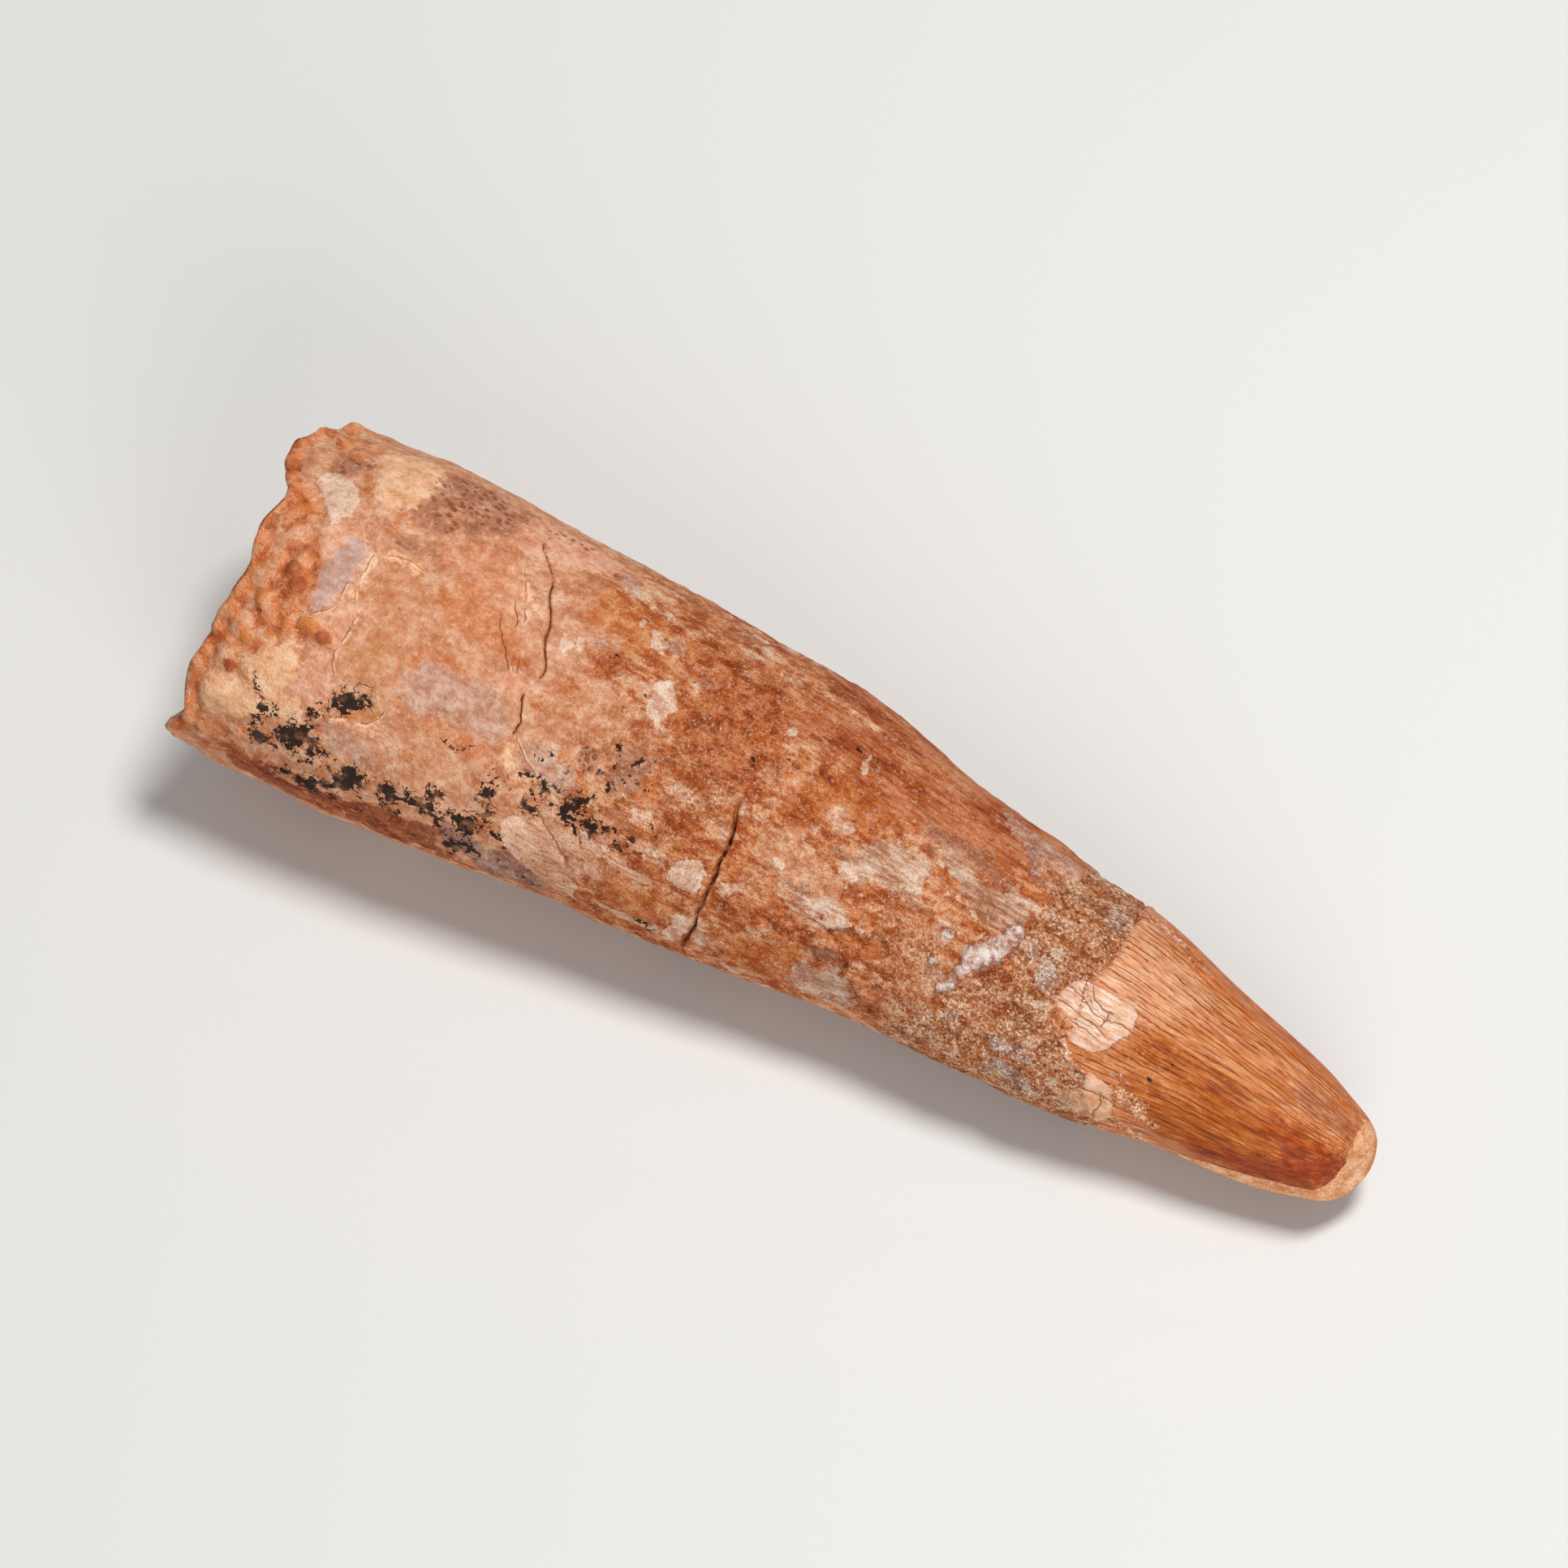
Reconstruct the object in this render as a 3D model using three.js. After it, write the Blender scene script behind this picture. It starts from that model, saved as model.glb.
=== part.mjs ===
// A fossil spinosaurus tooth with its root, lying on its side. Millimetres, +Z up.
//
// The tooth is one natural solid. Its long axis runs along X, from the broken end of the
// root at -X to the worn tip at +X. The skin is a grid: rings around the axis, each ring
// following the breaks and edges that cross the tooth, moved in or out by the relief.
// The origin is the middle of the footprint, on the surface that the tooth rests on.

import * as THREE from 'three';

// ---------------------------------------------------------------- driving dimensions

const LENGTH = 76;
const LUMP_SIZE = 9;
const LUMP_HEIGHT = 0.28;
const KNOB_SIZE = 3.1;
const KNOB_HEIGHT = 0.13;
const CRUST_LENGTH = 4.5;
const CRUST_GRAIN = 1.7;
const CRUST_HEIGHT = 0.42;
const MATRIX_GRAIN = 1.5;
const MATRIX_HEIGHT = 0.14;
const LEDGE_DROP = 0.42;
const CROWN_GROOVE = 0.22;
const MAIN_CRACK_DEPTH = 0.65;
const MAIN_CRACK_HALF_WIDTH = 0.2;
const THIN_CRACK_DEPTH = 0.3;
const THIN_CRACK_HALF_WIDTH = 0.3;
const CARINA_HEIGHT = 0.14;
const CARINA_WIDTH = 9;
const FLUTE_COUNT = 15;
const FLUTE_HEIGHT = 0.05;

// The middle of the footprint, from the axis origin at the root's broken end.
const FOOTPRINT_MIDDLE_X = 37.4;
const FOOTPRINT_MIDDLE_Y = -0.1;

// Cross-sections along the axis: [x, half width, half height, middle y, middle z].
// The root's underside dips below zero by up to half a millimetre, and is flat there.
const SECTIONS = [
  [0, 11.55, 9.35, -0.3, 8.9],
  [6, 11.7, 9.5, 0, 9.05],
  [14, 11.4, 9.1, 0.45, 8.7],
  [24, 10.85, 8.6, 1.3, 8.1],
  [34, 10.1, 7.95, 1.8, 7.45],
  [44, 8.45, 6.85, 2, 6.65],
  [52, 7.65, 6.25, 1.5, 6.1],
  [58.5, 6.85, 5.7, 1.6, 5.7],
  [64, 5.5, 4.65, 1.55, 5.3],
  [70, 4.45, 3.8, 1.15, 4.9],
  [73, 3.5, 3.05, 1.05, 4.75],
  [74.8, 2.75, 2.4, 1, 4.65],
  [75.6, 2, 1.75, 1, 4.6],
  [76, 1, 0.9, 1, 4.6],
];

// Edges that cross the tooth: where each one lies, as [angle in degrees, x].
// Angle 0 is the +Y side, 90 the top, 180 the -Y side and 270 the underside.
const RIM_EDGE = {
  station: 0,
  path: [[10, 0.2], [37, -0.8], [63, -1.2], [78, -0.1], [92, -0.4], [107, 0.4], [130, 0.3],
    [145, -0.1], [163, 0.3], [181, -1], [196, -0.8], [225, 0.2], [250, -0.5], [275, 0.3],
    [300, -0.4], [325, 0.4], [350, -0.2]],
};
const THIN_CRACK = {
  station: 18,
  path: [[20, 15], [52, 14.5], [68, 16.7], [84, 18.2], [98, 19.4], [106, 19], [118, 19.7],
    [150, 18.6], [200, 18], [300, 17]],
};
const MAIN_CRACK = {
  station: 34,
  path: [[60, 33.2], [104, 33.4], [123, 34.2], [143, 34.2], [158, 34], [185, 33.5], [300, 33.6]],
};
const LEDGE = {
  station: 51,
  path: [[20, 53], [79, 52.1], [98, 52], [111, 51.7], [124, 50.6], [143, 48.6], [200, 47.5],
    [260, 50], [320, 52.5]],
};
const CROWN_EDGE = {
  station: 56.3,
  path: [[20, 56.6], [53, 57.1], [83, 57.3], [96, 56.8], [102, 55.9], [112, 55.3], [122, 55.9],
    [137, 57.1], [146, 59.2], [201, 60.9], [250, 59], [300, 57], [350, 56.2]],
};

// How strongly each edge shows around the tooth: [angle, share].
const THIN_CRACK_REACH = [[50, 0], [56, 0.6], [64, 0.3], [80, 1], [98, 0.8], [102, 0], [105, 0],
  [110, 1], [118, 0.7], [122, 0], [250, 0], [275, 0.8], [300, 0.7], [325, 0]];
const MAIN_CRACK_REACH = [[97, 0], [108, 0.5], [120, 1], [140, 0.85], [170, 0.75], [200, 0.8],
  [240, 0.5], [262, 0]];
const LEDGE_REACH = [[20, 0.25], [70, 0.5], [95, 1], [135, 1], [150, 0.3], [180, 0.15],
  [230, 0.6], [290, 0.8], [340, 0.35]];

// Scales that have come off the root: centre x and angle, length, width and depth.
const SCALES = [
  { x: 42.4, angle: 151, length: 2.6, width: 1.5, depth: 0.4 },
  { x: 42.5, angle: 166, length: 4, width: 3, depth: 0.26 },
  { x: 42.6, angle: 137, length: 2.4, width: 1.2, depth: 0.34 },
  { x: 44.6, angle: 134, length: 1.6, width: 1.2, depth: 0.3 },
  { x: 9.4, angle: 248, length: 6, width: 4, depth: 0.3 },
  { x: 27, angle: 310, length: 7, width: 3.5, depth: 0.32 },
  { x: 46, angle: 285, length: 4, width: 3, depth: 0.26 },
  { x: 22, angle: 12, length: 5, width: 3, depth: 0.24 },
];

// Wear at the tip: flat faces, each a point on the face and the way it faces.
const WEAR_FACES = [
  { point: [69, -3.1, 5.6], facing: [0.235, -0.95, 0.19] },
  { point: [75.1, 0.4, 5.2], facing: [0.82, -0.46, 0.34] },
];

// The broken end of the root, from the rim inwards: [share of the rim, depth]. Around the
// hollow of the tooth stands a wall of dentine, and hard sand fills the hollow.
const END_STEPS = [[0.95, -0.1], [0.86, 0.15], [0.76, 0.2], [0.69, 0.95], [0.42, 1.25], [0.18, 0.9]];
const END_ROUGHNESS = 0.5;
const END_GRAIN = 2.6;

// The grid: [station, steps to the next one], closer where an edge crosses.
const RING_STEPS = [[0, 6], [3.3, 11], [17.7, 1], [18, 1], [18.3, 12], [33.8, 1], [34, 1],
  [34.2, 14], [50.8, 1], [51.2, 5], [56.1, 1], [56.5, 14], [72, 8]];
const POINTS_AROUND = 56;

// ---------------------------------------------------------------- curves and noise

function smooth(low, high, value) {
  const share = Math.min(Math.max((value - low) / (high - low), 0), 1);
  return share * share * (3 - 2 * share);
}

// A smooth curve through rows of a table: each slope is that of the rows on both sides.
function alongTable(table, column, x) {
  let row = 0;
  while (row < table.length - 2 && table[row + 1][0] < x) {
    row += 1;
  }
  const slope = (at) => {
    const before = Math.max(at - 1, 0);
    const after = Math.min(at + 1, table.length - 1);
    return (table[after][column] - table[before][column]) / (table[after][0] - table[before][0]);
  };
  const span = table[row + 1][0] - table[row][0];
  const share = Math.min(Math.max((x - table[row][0]) / span, 0), 1);
  const square = share * share;
  const cube = square * share;
  const start = (2 * cube - 3 * square + 1) * table[row][column];
  const end = (3 * square - 2 * cube) * table[row + 1][column];
  const bend = (cube - 2 * square + share) * slope(row) + (cube - square) * slope(row + 1);
  return start + end + bend * span;
}

// A value given at some angles, eased between them all the way around.
function aroundPath(path, degrees) {
  const angle = ((degrees % 360) + 360) % 360;
  let next = path.findIndex((entry) => entry[0] > angle);
  let offset = 0;
  if (next < 0) {
    next = 0;
    offset = 360;
  }
  const previous = (next + path.length - 1) % path.length;
  const start = path[previous][0] - (next === 0 && offset === 0 ? 360 : 0);
  const end = path[next][0] + offset;
  const share = smooth(start, end, angle);
  return path[previous][1] + (path[next][1] - path[previous][1]) * share;
}

function lattice(ix, iy, iz, seed) {
  let mix = Math.imul(ix, 374761393) + Math.imul(iy, 668265263);
  mix += Math.imul(iz, 1442695041) + Math.imul(seed, 974634777);
  mix = Math.imul((mix ^ (mix >>> 13)) | 0, 1274126177);
  mix = Math.imul((mix ^ (mix >>> 15)) | 0, 461845907);
  return ((mix ^ (mix >>> 16)) >>> 0) / 4294967295;
}

// Smooth noise from -1 to 1, with lumps about as wide as size.
function noise(point, size, seed) {
  const at = [point.x / size, point.y / size, point.z / size];
  const cell = at.map(Math.floor);
  const ease = at.map((value, axis) => smooth(0, 1, value - cell[axis]));
  let total = 0;
  for (let corner = 0; corner < 8; corner += 1) {
    const step = [corner & 1, (corner >> 1) & 1, (corner >> 2) & 1];
    const weight = step.reduce((product, on, axis) => product * (on ? ease[axis] : 1 - ease[axis]), 1);
    total += weight * lattice(cell[0] + step[0], cell[1] + step[1], cell[2] + step[2], seed);
  }
  return 2 * total - 1;
}

// ---------------------------------------------------------------- the tooth's surface

const EDGES = [RIM_EDGE, THIN_CRACK, MAIN_CRACK, LEDGE, CROWN_EDGE];

// The x of a station at an angle: each edge bends the rings near it to its own line.
function ringX(station, degrees) {
  const anchors = EDGES.map((edge) => [edge.station, aroundPath(edge.path, degrees) - edge.station]);
  anchors.push([66, 0], [LENGTH, 0]);
  for (let index = 0; index < anchors.length - 1; index += 1) {
    const [from, shiftFrom] = anchors[index];
    const [to, shiftTo] = anchors[index + 1];
    if (station <= to) {
      return station + shiftFrom + ((shiftTo - shiftFrom) * (station - from)) / (to - from);
    }
  }
  return station;
}

function bareSection(x) {
  return {
    halfWidth: alongTable(SECTIONS, 1, x),
    halfHeight: alongTable(SECTIONS, 2, x),
    middleY: alongTable(SECTIONS, 3, x),
    middleZ: alongTable(SECTIONS, 4, x),
  };
}

// 1 inside a narrow band at the station, 0 beyond it.
function band(station, at, halfWidth) {
  return 1 - smooth(0, halfWidth, Math.abs(station - at));
}

function rootLumps(bare, station) {
  const root = 1 - smooth(50, 57, station);
  const crust = 1 - smooth(0.4 * CRUST_LENGTH, CRUST_LENGTH, station);
  const grain = Math.abs(noise(bare, CRUST_GRAIN, 3));
  return LUMP_HEIGHT * (0.3 + 0.7 * root) * noise(bare, LUMP_SIZE, 1)
    + KNOB_HEIGHT * root * noise(bare, KNOB_SIZE, 2)
    + CRUST_HEIGHT * crust * (grain - 0.3);
}

function scaleHollows(x, degrees, halfWidth) {
  let depth = 0;
  for (const scale of SCALES) {
    const across = THREE.MathUtils.degToRad(((degrees - scale.angle + 540) % 360) - 180) * halfWidth;
    const distance = Math.hypot((x - scale.x) / (scale.length / 2), across / (scale.width / 2));
    depth += scale.depth * (1 - smooth(0.75, 1.15, distance));
  }
  return depth;
}

// Past the ledge the root's skin is gone and hard sand fills the step up to the crown.
function matrixStep(bare, station, degrees) {
  const past = smooth(LEDGE.station - 0.2, LEDGE.station + 0.2, station);
  const filled = 1 - smooth(LEDGE.station + 0.5, CROWN_EDGE.station - 0.4, station);
  const sandy = past * (1 - smooth(CROWN_EDGE.station - 0.3, CROWN_EDGE.station, station));
  const grain = MATRIX_HEIGHT * sandy * noise(bare, MATRIX_GRAIN, 4);
  return grain - LEDGE_DROP * aroundPath(LEDGE_REACH, degrees) * past * filled;
}

function cracks(station, degrees) {
  return -MAIN_CRACK_DEPTH * aroundPath(MAIN_CRACK_REACH, degrees) * band(station, MAIN_CRACK.station, MAIN_CRACK_HALF_WIDTH)
    - THIN_CRACK_DEPTH * aroundPath(THIN_CRACK_REACH, degrees) * band(station, THIN_CRACK.station, THIN_CRACK_HALF_WIDTH);
}

// The crown has a cutting edge, the carina, on each side, and low flutes between them.
function crownRelief(station, degrees) {
  const crown = smooth(CROWN_EDGE.station, CROWN_EDGE.station + 0.6, station);
  const fade = crown * (1 - smooth(71, 75, station));
  const carinae = [4, 186].reduce((sum, at) => {
    const apart = Math.abs(((degrees - at + 540) % 360) - 180);
    return sum + CARINA_HEIGHT * (1 - smooth(0, CARINA_WIDTH, apart));
  }, 0);
  const flutes = FLUTE_HEIGHT * Math.cos(THREE.MathUtils.degToRad(degrees) * FLUTE_COUNT);
  return fade * (carinae + flutes) - CROWN_GROOVE * band(station, CROWN_EDGE.station - 0.2, 0.4);
}

function wearDown(point) {
  for (const face of WEAR_FACES) {
    const facing = new THREE.Vector3(...face.facing).normalize();
    const proud = point.clone().sub(new THREE.Vector3(...face.point)).dot(facing);
    if (proud > 0) {
      point.addScaledVector(facing, -proud);
    }
  }
  return point;
}

function skinPoint(station, degrees) {
  const angle = THREE.MathUtils.degToRad(degrees);
  const x = ringX(station, degrees);
  const { halfWidth, halfHeight, middleY, middleZ } = bareSection(x);
  const bare = new THREE.Vector3(x, middleY + halfWidth * Math.cos(angle), middleZ + halfHeight * Math.sin(angle));
  const outward = new THREE.Vector3(0, Math.cos(angle) / halfWidth, Math.sin(angle) / halfHeight).normalize();
  const relief = rootLumps(bare, station)
    + matrixStep(bare, station, degrees)
    + cracks(station, degrees)
    + crownRelief(station, degrees)
    - scaleHollows(x, degrees, halfWidth);
  const nearTip = 1 - smooth(73.5, 75.5, station);
  bare.addScaledVector(outward, relief * nearTip);
  return wearDown(bare);
}

function endPoint(share, depth, degrees) {
  const rim = skinPoint(0, degrees);
  const { middleY, middleZ } = bareSection(0);
  const y = middleY + (rim.y - middleY) * share;
  const z = middleZ + (rim.z - middleZ) * share;
  const x = rim.x * share + depth;
  const rough = END_ROUGHNESS * noise(new THREE.Vector3(x, y, z), END_GRAIN, 5);
  return new THREE.Vector3(x + rough, y, z);
}

// ---------------------------------------------------------------- the mesh

function ringStations() {
  const stations = [];
  RING_STEPS.forEach(([from, steps], index) => {
    const to = index + 1 < RING_STEPS.length ? RING_STEPS[index + 1][0] : LENGTH;
    for (let step = 0; step < steps; step += 1) {
      stations.push(from + ((to - from) * step) / steps);
    }
  });
  stations.push(LENGTH);
  return stations;
}

function ring(makePoint) {
  return Array.from({ length: POINTS_AROUND }, (_, index) => makePoint((360 * index) / POINTS_AROUND));
}

function middleOf(points) {
  const total = points.reduce((sum, point) => sum.add(point), new THREE.Vector3());
  return total.divideScalar(points.length);
}

function toothGeometry() {
  const end = END_STEPS.map(([share, depth]) => ring((degrees) => endPoint(share, depth, degrees)));
  const skin = ringStations().map((station) => ring((degrees) => skinPoint(station, degrees)));
  const rings = [...end.reverse(), ...skin];
  const points = [...rings.flat(), middleOf(rings[0]), middleOf(rings[rings.length - 1])];
  const positions = points.flatMap((point) => [
    point.x - FOOTPRINT_MIDDLE_X,
    point.y - FOOTPRINT_MIDDLE_Y,
    Math.max(point.z, 0),
  ]);
  const triangles = [];
  const at = (row, column) => row * POINTS_AROUND + (column % POINTS_AROUND);
  for (let row = 0; row < rings.length - 1; row += 1) {
    for (let column = 0; column < POINTS_AROUND; column += 1) {
      const near = at(row, column);
      const nearNext = at(row, column + 1);
      const far = at(row + 1, column);
      const farNext = at(row + 1, column + 1);
      triangles.push(near, nearNext, farNext, near, farNext, far);
    }
  }
  const rootMiddle = rings.length * POINTS_AROUND;
  const tipMiddle = rootMiddle + 1;
  const last = rings.length - 1;
  for (let column = 0; column < POINTS_AROUND; column += 1) {
    triangles.push(rootMiddle, at(0, column + 1), at(0, column));
    triangles.push(tipMiddle, at(last, column), at(last, column + 1));
  }
  const geometry = new THREE.BufferGeometry();
  geometry.setAttribute('position', new THREE.Float32BufferAttribute(positions, 3));
  geometry.setIndex(triangles);
  geometry.computeVertexNormals();
  return geometry;
}

const FOSSIL = new THREE.MeshStandardMaterial({
  name: 'fossil',
  color: new THREE.Color(0.62, 0.37, 0.22),
  roughness: 0.68,
  metalness: 0,
});

const tooth = new THREE.Mesh(toothGeometry(), FOSSIL);
tooth.name = 'tooth';

const group = new THREE.Group();
group.add(tooth);

export default group;
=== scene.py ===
import math

import bpy
import numpy as np
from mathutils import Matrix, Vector


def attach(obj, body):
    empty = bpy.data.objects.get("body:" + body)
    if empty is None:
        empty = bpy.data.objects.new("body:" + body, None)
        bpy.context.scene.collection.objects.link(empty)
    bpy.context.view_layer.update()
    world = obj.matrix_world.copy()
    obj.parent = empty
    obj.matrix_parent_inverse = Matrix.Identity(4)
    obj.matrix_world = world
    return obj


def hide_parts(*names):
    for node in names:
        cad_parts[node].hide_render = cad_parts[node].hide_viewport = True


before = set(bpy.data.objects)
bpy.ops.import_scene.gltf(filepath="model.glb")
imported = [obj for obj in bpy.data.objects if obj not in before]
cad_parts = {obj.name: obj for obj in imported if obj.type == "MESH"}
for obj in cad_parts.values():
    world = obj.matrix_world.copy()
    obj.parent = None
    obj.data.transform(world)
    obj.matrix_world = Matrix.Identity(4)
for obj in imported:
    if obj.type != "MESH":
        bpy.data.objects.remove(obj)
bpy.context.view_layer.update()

# A fossil spinosaurus tooth, lying on its side. Lengths are in millimetres until the mesh is
# made, which is in metres. Two ways to name a place on the tooth's skin are used:
# (station, angle): the ring along the axis, and the angle around it in degrees, where 0 is
# the +Y side, 90 the top, 180 the -Y side and 270 the underside;
# (along, across): millimetres from the root's broken end, and millimetres around from the
# top, positive towards the -Y side.

MM = 0.001
TOOTH_NODE = "tooth"

# ------------------------------------------------------------------ the solid's own shape

LENGTH = 76.0
LUMP_SIZE, LUMP_HEIGHT = 9.0, 0.28
KNOB_SIZE, KNOB_HEIGHT = 3.1, 0.13
CRUST_LENGTH, CRUST_GRAIN, CRUST_HEIGHT = 4.5, 1.7, 0.42
MATRIX_GRAIN, MATRIX_HEIGHT = 1.5, 0.14
LEDGE_DROP = 0.42
CROWN_GROOVE = 0.22
CARINA_HEIGHT, CARINA_WIDTH = 0.14, 9.0
CARINA_ANGLES = (4.0, 186.0)
FLUTE_COUNT, FLUTE_HEIGHT = 15, 0.05
FOOTPRINT_MIDDLE = (37.4, -0.1)

# Cross-sections: [x, half width, half height, middle y, middle z].
SECTIONS = np.array([
    [0, 11.55, 9.35, -0.3, 8.9],
    [6, 11.7, 9.5, 0, 9.05],
    [14, 11.4, 9.1, 0.45, 8.7],
    [24, 10.85, 8.6, 1.3, 8.1],
    [34, 10.1, 7.95, 1.8, 7.45],
    [44, 8.45, 6.85, 2, 6.65],
    [52, 7.65, 6.25, 1.5, 6.1],
    [58.5, 6.85, 5.7, 1.6, 5.7],
    [64, 5.5, 4.65, 1.55, 5.3],
    [70, 4.45, 3.8, 1.15, 4.9],
    [73, 3.5, 3.05, 1.05, 4.75],
    [74.8, 2.75, 2.4, 1, 4.65],
    [75.6, 2, 1.75, 1, 4.6],
    [76, 1, 0.9, 1, 4.6],
])

# Edges that cross the tooth: the station, and the x of the edge by angle. Between 50 and 76
# degrees the rim has a lump of crust that the solid doesn't have.
RIM_STATION = 0.0
RIM_PATH = [[10, 0.2], [37, -0.8], [50, -1.5], [60, -2.1], [68, -1.8], [74, -0.7], [79, 0],
            [92, -0.4], [107, 0.4], [130, 0.3], [145, -0.1], [163, 0.3], [181, -1], [196, -0.8],
            [225, 0.2], [250, -0.5], [275, 0.3], [300, -0.4], [325, 0.4], [350, -0.2]]
THIN_CRACK_STATION = 18.0
THIN_CRACK_PATH = [[20, 15], [52, 14.5], [68, 16.7], [84, 18.2], [98, 19.4], [106, 19],
                   [118, 19.7], [150, 18.6], [200, 18], [300, 17]]
MAIN_CRACK_STATION = 34.0
MAIN_CRACK_PATH = [[60, 33.2], [104, 33.4], [123, 34.2], [143, 34.2], [158, 34], [185, 33.5],
                   [300, 33.6]]
LEDGE_STATION = 51.0
LEDGE_PATH = [[20, 53], [79, 52.1], [98, 52], [111, 51.7], [124, 50.6], [143, 48.6],
              [200, 47.5], [260, 50], [320, 52.5]]
CROWN_STATION = 56.3
CROWN_PATH = [[20, 56.6], [53, 57.1], [83, 57.3], [96, 56.8], [102, 55.9], [112, 55.3],
              [122, 55.9], [137, 57.1], [146, 59.2], [201, 60.9], [250, 59], [300, 57],
              [350, 56.2]]
STRAIGHT_STATION = 66.0

# How strongly each edge shows around the tooth, by angle.
THIN_CRACK_REACH = [[50, 0], [56, 0.6], [64, 0.3], [80, 1], [98, 0.8], [102, 0], [105, 0],
                    [110, 1], [118, 0.7], [122, 0], [250, 0], [275, 0.8], [300, 0.7], [325, 0]]
MAIN_CRACK_REACH = [[97, 0], [108, 0.5], [120, 1], [140, 0.85], [170, 0.75], [200, 0.8],
                    [240, 0.5], [262, 0]]
LEDGE_REACH = [[20, 0.25], [70, 0.5], [95, 1], [135, 1], [150, 0.3], [180, 0.15],
               [230, 0.6], [290, 0.8], [340, 0.35]]

# Scales that have come off the root: x, angle, length, width, depth.
SCALES = [
    (42.4, 151, 2.6, 1.5, 0.4),
    (42.5, 166, 4.0, 3.0, 0.26),
    (42.6, 137, 2.4, 1.2, 0.34),
    (44.6, 134, 1.6, 1.2, 0.3),
    (9.4, 248, 6.0, 4.0, 0.3),
    (27.0, 310, 7.0, 3.5, 0.32),
    (46.0, 285, 4.0, 3.0, 0.26),
    (22.0, 12, 5.0, 3.0, 0.24),
]

# Wear at the tip: a point on each flat face, and the way that the face looks.
WEAR_FACES = [
    ((69, -3.1, 5.6), (0.235, -0.95, 0.19)),
    ((75.1, 0.4, 5.2), (0.82, -0.46, 0.34)),
]
WEAR_ROUNDING = 0.25
# The inner edge of the worn skin at the tip: its x by angle.
WEAR_PATH = [[40, 74.6], [80, 74.5], [100, 75.1], [131, 75.5], [151, 75.4], [159, 75.25], [164, 75],
             [168, 74.6], [171, 74], [174, 72.9], [177, 71.1], [180, 68.4], [183, 66.2], [186, 65.5],
             [190, 66.2], [195, 69], [202, 73], [215, 74.6], [250, 75.4], [300, 75.6], [356, 75]]

# The broken end, from the rim inwards: share of the rim, and depth.
END_STEPS = np.array([[0, 0.9], [0.18, 0.9], [0.42, 1.25], [0.69, 0.95], [0.76, 0.2],
                      [0.86, 0.15], [0.95, -0.1], [1, 0]])
END_ROUGHNESS, END_GRAIN = 0.5, 2.6

# ------------------------------------------------------------------ the fine grid

# [station, steps to the next one]: closer where an edge crosses.
RING_STEPS = [[0, 18], [3.3, 66], [17.6, 12], [18.4, 72], [33.5, 18], [34.4, 76], [50.6, 14],
              [51.5, 20], [55.9, 16], [56.9, 70], [74.2, 16]]
POINTS_AROUND = 224
TOP_CROWDING = 11.5
END_RINGS = 26
TIP_RINGS = 5
TIP_BULGE = 0.1

# ------------------------------------------------------------------ marks on the skin

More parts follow.
